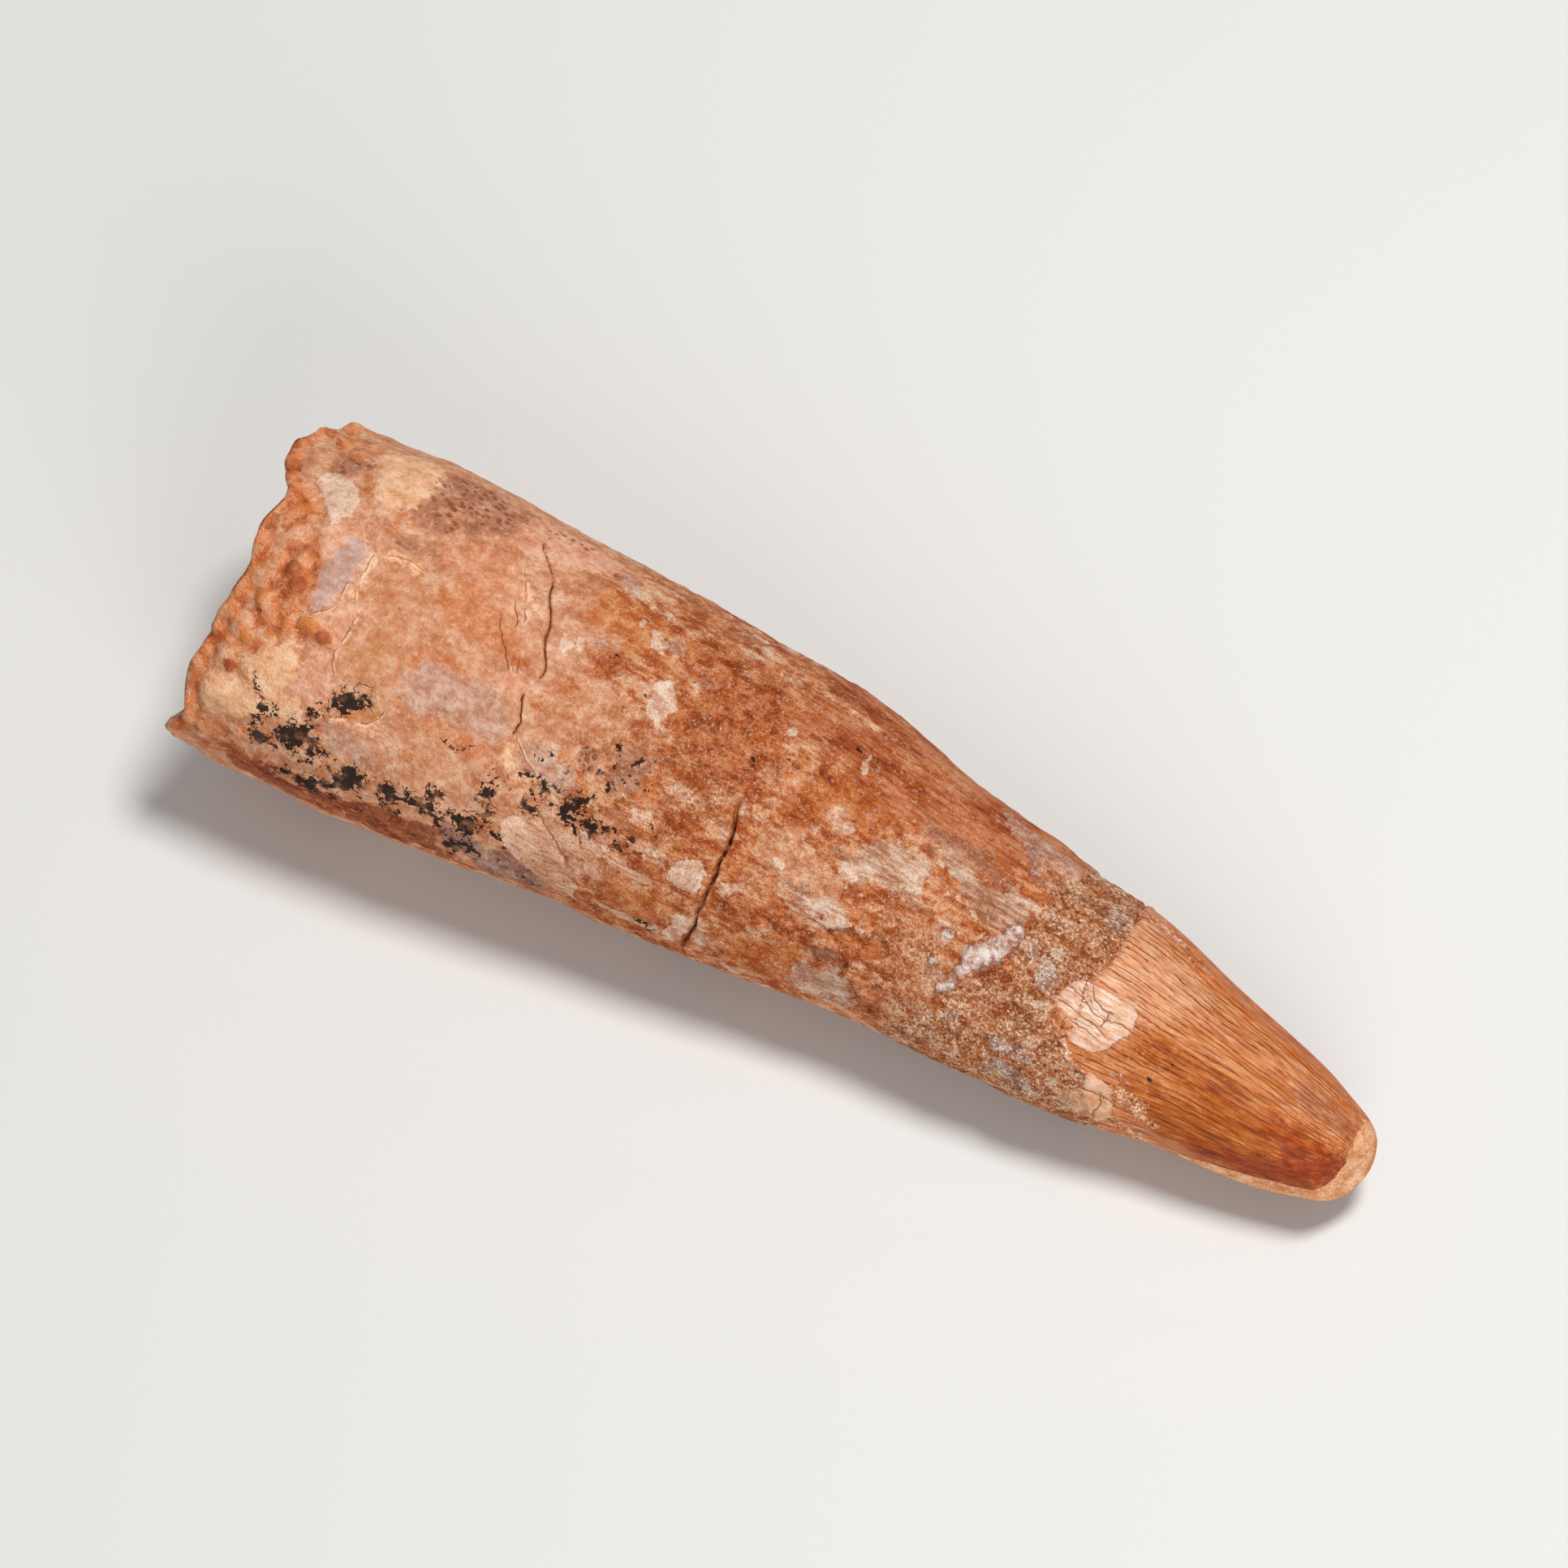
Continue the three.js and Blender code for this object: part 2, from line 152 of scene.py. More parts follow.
# Outlines of patches, as (along, across) corners, and ovals: along, across, half length,
# half width and, for some, how far they are turned.
WHITISH = [
    [(1.2, -4.7), (2.6, -4.8), (3.3, -4.3), (4, -3.2), (4.1, -2.2), (3.6, -1.1), (3.1, -1.2), (2.5, -2.2),
     (1.4, -2.9), (1, -3.6)],
    [(25.4, -1.1), (26.1, -1.9), (26.8, -1.3), (27.4, -0.2), (27, 0.4), (26.9, 1.1), (26.2, 1), (25.7, 0.6),
     (25.6, -0.3)],
    [(19.1, -1.4), (19.7, -1.3), (20, -0.8), (19.8, -0.1), (19.5, 0.2), (19.2, -0.3)],
    [(20, -1.6), (20.4, -1.4), (20.6, -0.6), (20.3, -0.8)],
    [(22.3, -4.9), (22.6, -4.8), (22.75, -4.2), (22.5, -4.1), (22.35, -4.4)],
    [(23.3, -4.5), (23.9, -4.5), (24.4, -4), (24.8, -3), (24.2, -3), (23.6, -3.6)],
    [(32.1, 7.8), (32.9, 7.3), (33.5, 7.6), (33.7, 8.6), (33.6, 9.4), (32.4, 9.6), (31.6, 9.4),
     (31.8, 8.6)],
    [(35.2, 7.6), (35.7, 7.9), (35.6, 8.4), (34.9, 8.6), (34.6, 8.4), (35.2, 8.2)],
    [(32.8, 11.5), (33.4, 11.2), (33.6, 12.4), (33.3, 13.6), (32.4, 14.6), (32.2, 13.4)],
    [(38.4, -4.2), (38.7, -3.6), (39.1, -2.9), (38.6, -2.7), (38.3, -3.2)],
    [(40.3, 3), (41, 2.8), (41.8, 3.1), (41.6, 3.8), (40.7, 3.8), (40.2, 3.5)],
    [(41, 6.2), (42, 5.9), (42.9, 5.7), (42.5, 6.3), (41.6, 6.9), (40.6, 6.9)],
    [(47.6, 2.9), (48.6, 2.6), (48.4, 3.3), (48, 3.9), (47.7, 3.6)],
    [(47.4, 5.2), (47.8, 4.8), (48.3, 5.1), (48.6, 5.6), (48.3, 5.5), (47.9, 5.2), (47.6, 5.6)],
    [(51, -1.5), (52, -1.6), (52, -0.9), (51.4, -0.9)],
    [(54.2, 3.8), (54.8, 3.4), (55.1, 3.6), (54.8, 4), (54.4, 4.1)],
    [(56.9, 7.9), (57.9, 7.7), (57.5, 8.3), (57, 8.3)],
    [(53.9, 0.1), (54.3, -0.2), (54.55, 0), (54.4, 0.6), (54.15, 0.9), (53.8, 0.5)],
    (33.9, -2.8, 0.25, 0.3), (48.6, -1, 0.4, 0.2), (50.1, -1.9, 0.14, 0.2), (45.5, -0.2, 0.3, 0.2),
    (43.4, 5.9, 0.6, 0.12), (37.3, 5.1, 0.4, 0.3), (29, 20, 0.9, 0.6), (16, -16, 0.7, 0.5),
    (50.4, -1.4, 0.3, 0.12, 30), (53.3, -6.8, 0.3, 0.2), (49.8, 1.9, 0.2, 0.3), (48.8, 1.2, 0.4, 0.2),
]
CREAM = [
    [(2.6, -9.6), (6.6, -9.6), (7.1, -7.6), (7, -5.2), (6.6, -3.6), (5.4, -3.6), (4.6, -4.4), (3.6, -6),
     (2.7, -7.4)],
    [(3.4, 7.3), (4.8, 6.8), (5.6, 6.4), (6, 7.6), (6.2, 8.8), (5.9, 9.6), (7.4, 9.9), (8, 10.3),
     (7.6, 10.9), (5.4, 11), (3.8, 10.2), (2.8, 9.2), (3.4, 8.4)],
    [(0.8, 10.6), (2.6, 9.8), (3.8, 10.2), (5.2, 11.2), (4.6, 12.2), (4.4, 13), (2.6, 13.1), (1, 12.9),
     (0.5, 11.8)],
    [(6.5, -0.8), (8, -1.3), (9.6, -1), (9.6, -0.7), (7.2, -0.4), (7.1, 1.2), (7.4, 2.7), (7, 3),
     (6.8, 1.6)],
    [(14.8, -4.1), (15.3, -3.9), (16.4, -2.4), (16.8, -1.6), (16.2, -2.1), (15.2, -3.2)],
    [(21.4, -7), (22.8, -6.3), (22.4, -5.9), (21.4, -6.3)],
    [(8.4, 10), (10, 9.6), (11.4, 9.4), (12.1, 8.6), (12.3, 8.9), (11.8, 9.7), (10.2, 10)],
    (19.9, 6.6, 0.3, 0.9, 20), (20.9, 7.7, 1, 0.16, 15), (36, -6.8, 1.6, 0.18, 5), (9.5, -23.5, 2.4, 1.8),
    (13, 24.5, 2.6, 1.6), (30, -19, 1.6, 1.3), (5, -17.5, 1.7, 2.2), (2.9, 1.3, 0.5, 0.4),
    (37.6, 3.6, 0.6, 0.25), (35, 3, 0.4, 0.25),
]
PINKISH = [
    [(6.3, 6.4), (7.6, 6), (8.2, 7.2), (8.8, 8.6), (8.4, 9.6), (7.7, 10.1), (6.2, 9.6), (6.2, 8.6)],
    [(4, -1.9), (5.2, -2), (6.2, -1), (6.7, -0.2), (6.8, 1), (6.8, 2.4), (6.4, 3.6), (5.4, 4.5), (4.9, 4.2),
     (4.5, 2.8), (4.2, 1.2), (3.4, 0.2), (3.2, -0.6)],
    [(12.6, -9.6), (19, -9.6), (19, -7), (16, -5.6), (14, -5.4), (12.8, -5.6)],
    [(7.2, 3.2), (8, 3), (8, 5.8), (7.6, 6), (6.6, 4.4)],
    [(16.9, 2.5), (17.8, 2.1), (18.7, 2.6), (18.9, 3.4), (17.8, 3.6), (16.9, 3.2)],
]
TAN = [
    [(7.1, -0.4), (9.8, -0.6), (11.5, -1), (13, 0.4), (13.6, 2.4), (12.6, 3.4), (12.2, 5), (12.4, 7.4),
     (11.6, 7.4), (10.8, 7.4), (9.6, 7.4), (8.4, 7.2), (8.1, 5), (8.1, 3), (7.5, 2.6), (7.1, 1)],
    [(22.6, 0.6), (25.4, 0.6), (27, 1.4), (26.6, 2.8), (25.2, 3.2), (23, 4.4), (20.6, 4.6), (20.4, 2.6)],
    [(35.4, 3.4), (38.6, 3.2), (41.2, 4), (41.4, 5.2), (38.4, 5.8), (35.6, 5.6)],
]
LENS = [
    [(10.2, -3.6), (11, -4.6), (12.6, -4.8), (14.2, -4.6), (15, -3.6), (15.6, -2.4), (16.6, -1.2),
     (15, -1.2), (12.6, -1.9), (10.4, -1.8), (10, -2.8)],
]
SALMON = [
    [(11.8, -1.6), (14.6, -2), (16.6, -0.8), (17.6, 0.6), (17.2, 1.6), (15.4, 1.6), (13, 1.4), (11.6, 0)],
    [(12.2, 3.2), (14, 3.3), (16, 3.6), (13.6, 3.9), (12.8, 4.6), (12.5, 6.6), (12, 6.8), (11.9, 4.8)],
    [(13.6, 7), (18.6, 6.8), (19.2, 7.8), (17.4, 8.4), (14.4, 8)],
]
LILAC = [
    [(12.5, 4.6), (13.6, 3.7), (14.9, 4.1), (16.4, 3.6), (17.9, 3.9), (18.8, 4.8), (19.4, 5.4), (18.9, 6.4),
     (17.6, 6.9), (16.2, 6.3), (14.6, 7), (13, 7.1), (12.2, 6.2)],
    [(19.4, -8.6), (20.2, -8), (20.9, -7), (21.2, -6.4), (20.6, -6.4), (20, -7.2), (19.6, -7.8)],
    [(24, -4.5), (25.1, -4.5), (25.7, -3.6), (25.6, -3.1), (25, -3.3), (24.4, -4)],
    [(20.6, -2.3), (21.7, -2.2), (21.6, -1.7), (21, -1.6)],
    [(40.6, 9.9), (41.4, 9.4), (42.6, 9.1), (43.6, 9.2), (44.2, 10), (44.2, 11.2), (43, 11.4), (42, 11.8),
     (40.4, 12.2), (40.2, 11)],
    [(20.6, 6), (22, 5.6), (23.6, 5.9), (24.6, 6.6), (24.2, 7.4), (23, 7.8), (21.6, 7.4), (20.6, 7)],
    [(8.9, 10.1), (11.6, 10), (12.8, 10.8), (12, 11.7), (10, 11.6)],
    [(46.6, -7.4), (50, -6.8), (53, -6.6), (53.4, -5.6), (51.6, -4.9), (49.8, -5), (47.2, -6.2)],
]
LAVENDER = [
    [(5.2, -1.2), (6.2, -0.8), (6.7, 0.2), (6.7, 2.2), (6.2, 3.6), (5.4, 4.3), (4.9, 3.4), (4.8, 1.6),
     (4.7, 0.2)],
    (12, -20, 2.4, 1.6), (24.5, 24, 2.5, 1.5), (60.2, 5.6, 0.35, 0.5),
]
MAUVE = [
    [(7, -5.3), (8.6, -5.6), (9.6, -4.8), (9.9, -4), (9.2, -3.4), (7.8, -3.5), (6.9, -4)],
    [(7.2, -2.4), (8.2, -2.9), (9.4, -2.6), (9.7, -1.9), (8.6, -1.3), (7.3, -1.4)],
    [(0.8, -6.6), (2.4, -6.8), (2.9, -5.8), (2.3, -4.9), (1, -5), (0.5, -5.8)],
    [(7, -9.6), (12.8, -9.6), (12.6, -6.4), (11.6, -5.2), (10, -4.6), (9.2, -5.6), (7.4, -5.8)],
    [(23.8, 4.6), (24.8, 4.1), (25.4, 4.6), (25.2, 5.4), (24.6, 5.6), (23.9, 5.4)],
    [(25.8, 3.2), (26.8, 2.9), (27.8, 3.4), (27.6, 4.6), (28.2, 5.2), (27.2, 6.2), (26, 6.4), (25.6, 5.4),
     (26.2, 4.6)],
    [(41.2, 2), (42.2, 1.8), (42.9, 2), (42.6, 2.6), (41.6, 2.7), (41.1, 2.4)],
    [(40.7, 8.7), (41.2, 8.1), (42.2, 7.8), (42.9, 7.7), (42.9, 8.4), (42.6, 8.9), (41.6, 9.2),
     (40.8, 9.2)],
    [(44.3, -0.6), (45, -1.1), (45.3, -0.4), (44.8, 0.1)],
    [(47.5, 5.5), (47.9, 5.3), (48.3, 5.6), (48.2, 6.1), (47.6, 6.1)],
    [(43, -1.8), (47.6, -2.8), (48.8, -1.8), (46.8, -1.2), (44, -1)],
]
PURPLE = [
    [(20.2, 13.4), (21.6, 12.6), (22.6, 13.2), (23.8, 13.4), (24.4, 14.6), (24.2, 16.4), (20.2, 16.4),
     (19.8, 14.6)],
    [(17.6, 13.2), (18.8, 13.3), (20.4, 13), (20.4, 14.2), (19, 14.8), (17.4, 14.6)],
    [(49.3, -5.3), (49.7, -5.1), (50.3, -4.2), (51, -3.5), (51.9, -3.1), (51.2, -3.1), (50.3, -3.5),
     (49.7, -4.2)],
]
ORANGE = [
    [(19.6, -6.2), (22.6, -5.6), (25.4, -5.2), (26.8, -4), (25.6, -2.6), (22.6, -2.2), (20, -2.8),
     (19.2, -4.4)],
    [(2.9, -5.9), (3.4, -5.6), (4.5, -3.9), (4.8, -3.3), (4.2, -3.6), (3.4, -4.6)],
    [(34.6, -0.8), (37.8, -1.4), (41.8, -0.8), (42.2, 0.2), (38.2, 0.4), (35, 0.4)],
    [(41, -5.5), (48, -4.4), (48.2, -3.6), (44, -3.4), (41, -4.2)],
    [(42.3, 6.3), (43.6, 6.1), (44.4, 6.1), (44.6, 6.4), (44, 6.6), (43.2, 6.9), (42.4, 7.1), (42, 7)],
    [(36, 10.2), (40, 9.4), (39.8, 12.6), (36, 13.6)],
    [(28, 11), (31.6, 10.2), (31.8, 12.8), (28.6, 13.8)],
]
RUST = [
    [(27.8, -3), (29.5, -5.2), (31, -6.4), (33, -5), (34, -2.4), (34.2, 1), (33, 3), (31, 3.4), (29, 2.6),
     (27.8, 1.4), (27.4, -0.6)],
    [(21.2, -1.4), (22.4, -1.6), (24.2, -1.3), (24.6, -0.7), (23.4, -0.3), (22, 0.1), (21.2, -0.3)],
    [(35.6, 2), (36.4, 1.1), (37.8, 0.9), (38.2, 2), (37.2, 2.9), (36, 2.8)],
    [(26, -6.4), (30, -6.8), (29, -4.6), (26.6, -3), (25.6, -4.6)],
    [(34.6, 8.8), (36.4, 8.3), (39, 7.8), (40.8, 7.7), (40.9, 8.4), (39.2, 9), (37, 9.8), (35, 9.6)],
    [(30, 6.2), (32.8, 5.8), (33.4, 6.4), (31.4, 7), (30, 7)],
    (20, -20, 4, 2.5), (34, 24, 4, 2.2), (44, -15, 4, 2), (7, 25, 2.2, 2.4), (26.8, 2.2, 0.8, 0.6),
    (23, -6, 1.6, 0.7), (47, -0.2, 0.8, 0.3), (42, 8.2, 0.8, 0.4), (50, -1.1, 1, 0.2), (28, 15.4, 5, 0.8),
    (12, 16.6, 6, 1.3), (5, 15.6, 4, 0.9),
]
# Dark red spots. The last outline is a band along the lower near side of the root, and it is painted shade.
DARK_RED_AND_SHADE = [
    [(44.4, 9.6), (45.2, 9.1), (45.9, 9), (46.2, 9.6), (45.8, 10.4), (44.8, 10.2)],
    [(45, 8), (45.4, 7.8), (45.8, 7.9), (45.4, 8.2)],
    [(36.8, -1.25), (38, -1.05), (37.4, -0.85), (36.6, -1.05)],
    [(52.5, -4.1), (53.2, -4), (53.2, -3.5), (52.6, -3.6)],
    [(56.6, 8.9), (57.4, 8.8), (58.2, 9.6), (57.4, 9.8)],
    [(3, 15), (8, 15.6), (12, 14.8), (14, 13.9), (18, 13.8), (17.4, 15.4), (20, 17.2), (16.4, 16.6),
     (13.6, 18.2), (10, 17), (7, 18.8), (3.4, 17.4)],
]
FLANK = [
    [(33.8, -2.2), (37.4, -2.6), (41.8, -1.2), (45.6, -1.4), (49.2, -2.4), (50.4, -4.4), (52.6, -6),
     (54, -9), (54, -15), (34, -15), (33, -9), (33.4, -5)],
]
CRUST = [
    [(0, -3.2), (1, -2.8), (2.4, -2.2), (2.9, -1.4), (2.6, -0.6), (2, 0.2), (0.9, 0.6), (0.4, 0)],
    [(1.9, 0.6), (2.6, 0.2), (3.6, 0.3), (4.1, 1.4), (4.6, 2.6), (4.8, 3.6), (4, 4.4), (4.8, 4.9),
     (6.2, 4.6), (7.2, 5), (7.4, 5.8), (6.6, 6.2), (5.4, 6.2), (4.6, 6.9), (2.6, 6.8), (1.9, 6), (2, 4.2),
     (1.8, 2.4)],
    [(1.7, 7), (2.6, 6.8), (3.8, 7.4), (3.6, 8.2), (2.4, 8.6), (2.7, 9.3), (2.3, 10), (1.7, 9.8),
     (1.7, 8.4)],
    (1.2, -8.4, 1.3, 1.4), (1.2, 14.2, 2.4, 1), (2, -20, 1.8, 4), (1.6, 24, 1.6, 4), (4.6, 13.2, 1.2, 0.5),
]

# Lumps of the crust: dark ones, and clear amber ones.
DARK_NODULES = [
    (3.1, 2.6, 0.55, 0.5), (3.9, 3.4, 0.7, 0.6), (6.9, 5.6, 0.5, 0.45), (2.3, 9.6, 0.35, 0.45),
    (1.8, -18, 0.6, 0.5), (2.3, 26, 0.5, 0.5), (53, -3.8, 0.4, 0.3), (3.5, 4.2, 0.5, 0.25),
]
AMBER_NODULES = [
    (5.5, 5.35, 0.6, 0.5), (4.4, 5.8, 0.4, 0.35), (2.2, 5, 0.4, 0.5), (1.3, -1.4, 0.5, 0.4),
    (2.4, -21.5, 0.5, 0.6), (1.5, 22, 0.6, 0.5), (2.5, 7.6, 0.4, 0.4),
]
OCHRE = [
    [(10.6, 8.9), (10.9, 8), (11.5, 7.5), (12, 8.2), (11.9, 8.7), (11.4, 9.2), (10.6, 9.4), (9.6, 9.5),
     (9.2, 9.2)],
]
KHAKI = [
    [(9.2, 3.4), (10.4, 3.9), (11.2, 3.7), (11.6, 4.6), (11, 5.6), (11.2, 6.4), (10.2, 6.9), (9.6, 6.2),
     (8.8, 6), (9.2, 4.8)],
]
WOOD = [
    [(21.2, 10.6), (22, 10), (23.2, 9.9), (24.3, 10.6), (25.6, 11.7), (25.8, 12.6), (26.6, 13.2),
     (26.4, 14.6), (24.8, 14.2), (23.4, 13.5), (22.2, 12.8), (21.4, 11.8)],
    [(23.6, 9.4), (25, 9.6), (27.2, 9.6), (27.6, 10.2), (26.8, 10.8), (25.2, 10.9), (24.2, 10.3)],
    (14, 28.5, 3.5, 1.2), (33, -22, 3, 1.4), (29.4, 10.2, 1.6, 0.3), (30, 14, 2, 0.4),
]
GREY_WHITE = [
    [(45, -1), (46.2, -1.4), (47.2, -0.9), (48.4, -1.4), (49.4, -1.3), (50.4, -1.5), (52, -1.5), (52, -0.8),
     (51.9, 0.2), (51.4, 0.2), (50.8, 0.8), (50.2, 1.6), (48.8, 1.5), (48.2, 0.9), (47.4, 0.6),
     (47.2, -0.2), (46, -0.2), (45.2, -0.4)],
    [(41.4, 0.4), (43, 0), (45.2, 0.2), (45.4, 1.2), (45.6, 2), (46, 2.8), (45.2, 3.4), (44, 3.2),
     (43.4, 2.8), (42.8, 3), (41.4, 3.8), (40.4, 3.6), (39.8, 3), (40.2, 2.4), (41, 2), (41.4, 1.2)],
    [(38.2, 5.8), (39.6, 5.4), (41.4, 5.2), (42.6, 5.6), (42.2, 6.2), (41, 6.9), (39.4, 7), (38.4, 6.6)],
    [(41.3, 9.9), (42.6, 9.5), (43.9, 9.8), (44.3, 10.7), (43.2, 11.2), (41.4, 11.5)],
]
SHARDS = [
    [(59, 6.3), (59.8, 6), (60.8, 6.6), (61.2, 7.4), (61.4, 8.6), (61, 10), (60, 10.2), (59, 9.8),
     (58.2, 9.4), (57.6, 8.6), (58.6, 8.2), (59.2, 7.4)],
]
BROWN_DOTS = [
    (9.6, -7.4, 2.8, 1.9), (9.2, -5, 0.9, 0.8), (2, -5.9, 0.9, 0.8), (24.6, 5, 0.8, 0.6),
    (15, -8.6, 2, 0.6), (2.6, -7.2, 0.6, 0.6),
]
SAND = [
    [(50.3, 4.6), (52, 3), (56.5, 3.8), (57.6, 5.2), (58.4, 6), (59.2, 6.8), (58.9, 7.6), (58, 8.4),
     (59, 9.8), (60.4, 10.4), (60, 13), (50, 13), (47, 12.5), (46.6, 10.8), (47.8, 9), (48.6, 7.6),
     (49.6, 6.6)],
]
SAND_ON_CROWN = [
    (61.8, 6.2, 0.9, 0.5), (62.2, 6.8, 1.3, 0.5), (60.9, 5.2, 0.3, 0.3), (59.2, -5.4, 1.2, 0.4),
    (61.4, -4.8, 1, 0.45), (57.9, -5.9, 1, 0.6), (61.6, 9.3, 1.4, 0.5),
]
SANDY = [
    [(44, 3.8), (47, 2.6), (49, 4.8), (51, 5), (51, 12.6), (46.6, 12.6), (46.6, 9.4), (45, 7.6),
     (44.6, 5.6)],
    [(50.2, -5.2), (53.4, -5.8), (55, -6.6), (56.8, -5.6), (56.8, -4), (51.4, -2.6)],
    [(28.4, 1.6), (32.8, 1.8), (33, 5), (29.4, 5.6)],
    [(44, 14), (52, 13), (52, 23), (43, 22)],
]
CEMENT = [
    [(53.6, 1.2), (54.4, 1.1), (54.9, 1.8), (55, 2.8), (54.3, 3), (53.8, 2.4)],
    [(55.2, -4.6), (56.4, -4.6), (56.9, -3.4), (56.6, -2.6), (56, -2.8), (55.6, -3.6)],
    [(53.2, 9.2), (54, 8.2), (55.4, 8.4), (56.2, 8.6), (56.5, 9.4), (55.6, 10), (54.2, 9.9), (53.4, 9.7)],
    [(52.6, 6.9), (54.2, 6.6), (56.2, 7.2), (56, 8), (53.6, 7.9)],
    [(49.7, 6.8), (50.6, 6.5), (50.7, 7), (50, 7.3)],
    [(59.9, 5.2), (60.4, 5), (60.7, 5.6), (60.4, 6.1), (60, 5.9)],
]
FLAKE = [
    [(55.6, 2.2), (56, 1.4), (56.6, 1), (57.4, 1), (58.6, 0.9), (59.6, 1), (60.2, 1.2), (60.2, 1.7),
     (60.4, 2.3), (60, 3), (59.7, 3.6), (59.4, 4.2), (58.8, 4.7), (57.6, 4.9), (56.9, 4.6), (56.6, 4),
     (55.9, 3.5), (55.4, 2.9)],
]
CROWN_PALE = [
    [(56.6, -5.2), (58.4, -5), (60.6, -3.9), (63.6, -2.6), (62.6, -0.6), (60.6, 1.2), (56.4, 1),
     (56.6, -1)],
]
CROWN_TOP = [
    [(58, -7.5), (76, -7.5), (76, -2.2), (73.4, -2.2), (71, -2.9), (67, -3.1), (64, -3.6), (60.6, -4.1),
     (58.6, -5)],
]
CROWN_AMBER = [
    [(60.8, 1.6), (63, 1.3), (66, 1.2), (70, 1.1), (73, 0.9), (75.6, 0.8), (76, 3), (74.8, 3.6),
     (73.6, 4.4), (72, 5.4), (70, 6.4), (66, 7.2), (63.6, 7.6), (61.5, 6), (60.8, 4), (60.4, 3)],
]
CROWN_DEEP = [
    [(70, 1.9), (74, 1.2), (76, 1.2), (76, 3.2), (73.6, 4.6), (71, 6.2), (67, 6.9), (66, 5.6), (69, 4.8),
     (71.6, 3.6)],
]
CROWN_HONEY = [
    [(63.6, -0.6), (69.4, -0.8), (70, 0.9), (61.4, 1.3)],
    [(56.8, 4.8), (58.6, 4.9), (59.6, 4.4), (60.4, 3.2), (62, 3.3), (65.6, 3.1), (66, 3.8), (62.6, 4.2),
     (61, 5), (60, 5.8), (58.4, 5.8)],
]
CROWN_MAUVE = [
    [(70, -1.2), (72, -1.4), (74.6, -1.3), (74.3, 0), (72, 0.2), (70.6, -0.2)],
]

# Black marks of manganese: outlines of their masses, and thin strokes (half width, path).
BLACK_MARKS = [
    [(9, 8.5), (9.4, 8.1), (9.8, 7.6), (10.3, 7.4), (10.3, 8), (10.7, 8.2), (10.7, 7.3), (11, 7.6),
     (11, 8.1), (10.5, 8.8), (9.9, 9.1), (9.2, 9.1)],
    [(9.1, 9), (9.3, 9.2), (8.5, 10), (8.1, 10.6), (8, 10.4), (8.5, 9.6)],
    [(5, 10.9), (5.5, 10.9), (5.4, 11.5), (4.9, 11.8), (4.8, 11.3)],
    [(4.5, 12.5), (4.9, 12.2), (5.1, 12.8), (5.2, 13.3), (5.7, 13.3), (5.7, 13.7), (5.2, 13.8), (4.8, 13.4),
     (4.8, 12.9)],
    [(5.7, 13.3), (6.2, 12.9), (6.6, 12.5), (6.3, 12.2), (6.9, 11.8), (7.4, 11.3), (7.9, 11), (8.4, 11.1),
     (8.6, 11.6), (8.3, 12.2), (7.9, 12.6), (7.4, 13.1), (7.2, 12.9), (6.6, 13), (6, 13.6)],
    [(8.6, 11.6), (9.2, 11.8), (9.4, 12.2), (9, 12.4), (9.1, 13), (8.7, 13.2), (8.4, 12.8), (8.6, 12.3)],
    [(10.9, 12.1), (11.5, 11.9), (11.9, 12.2), (12.3, 12.4), (12.4, 13.1), (12.1, 13.6), (11.6, 14),
     (11.3, 14.3), (10.8, 14.2), (10.4, 13.8), (10.3, 13.2), (10.8, 12.9)],
    [(7.1, 15.2), (7.7, 14.8), (8.4, 14.8), (8.9, 15), (9.4, 14.6), (10.2, 14.2), (10.6, 14.3),
     (10.5, 14.7), (9.8, 15), (9.5, 15.6), (9.1, 15.9), (8.8, 15.6), (8.2, 15.5), (7.6, 15.5)],
    [(13.3, 12.4), (13.7, 12.3), (14.1, 12.1), (14.5, 12.3), (14.6, 12.8), (14.2, 13.4), (13.9, 13.7),
     (13.6, 13.6), (13.8, 13), (13.4, 12.7)],
    [(14.8, 12.4), (15.6, 12.1), (16.3, 12.1), (16.5, 11.9), (16.4, 11.4), (16.7, 11.1), (17.1, 11.3),
     (17.1, 12), (17.2, 12.6), (17, 12.9), (16.5, 12.6), (15.6, 12.7), (14.9, 12.8)],
    [(18.2, 12.1), (19, 12), (19.4, 11.6), (20.1, 11.2), (20.2, 11.5), (19.6, 12), (19.7, 12.6),
     (19.3, 13.1), (18.7, 13.2), (18.6, 12.7)],
    [(17.9, 14.6), (18.5, 14.2), (19, 14.1), (19.9, 14.2), (20.4, 14.1), (20.3, 14.4), (19.6, 14.7),
     (19, 15.2), (18.6, 15.4), (18, 15)],
    [(19.7, 9), (19.9, 8.7), (20.1, 9.2), (20.1, 10.2), (20.5, 10.7), (20.5, 11.2), (20.2, 11.4),
     (20, 10.9), (19.8, 10.2), (19.6, 9.5)],
    [(24, 7.7), (24.7, 7.8), (25.1, 7.2), (25.4, 7.2), (25.2, 7.7), (25, 8.2), (25.3, 8.6), (25, 8.9),
     (24.4, 9), (24.2, 8.4)],
    [(25.8, 8.3), (26.4, 8.2), (26.8, 8.5), (26.8, 9), (26.2, 9.1), (25.9, 8.8)],
    [(22.2, 7.5), (22.7, 7.3), (23.2, 7.8), (23.4, 8.1), (22.9, 8), (22.4, 7.8)],
    [(21.8, 9.3), (22.5, 9.1), (22.8, 9.4), (22.4, 9.6), (21.9, 9.5)],
    [(30.6, 13.7), (31.2, 13.5), (31.5, 13.9), (31, 14.2)],
]
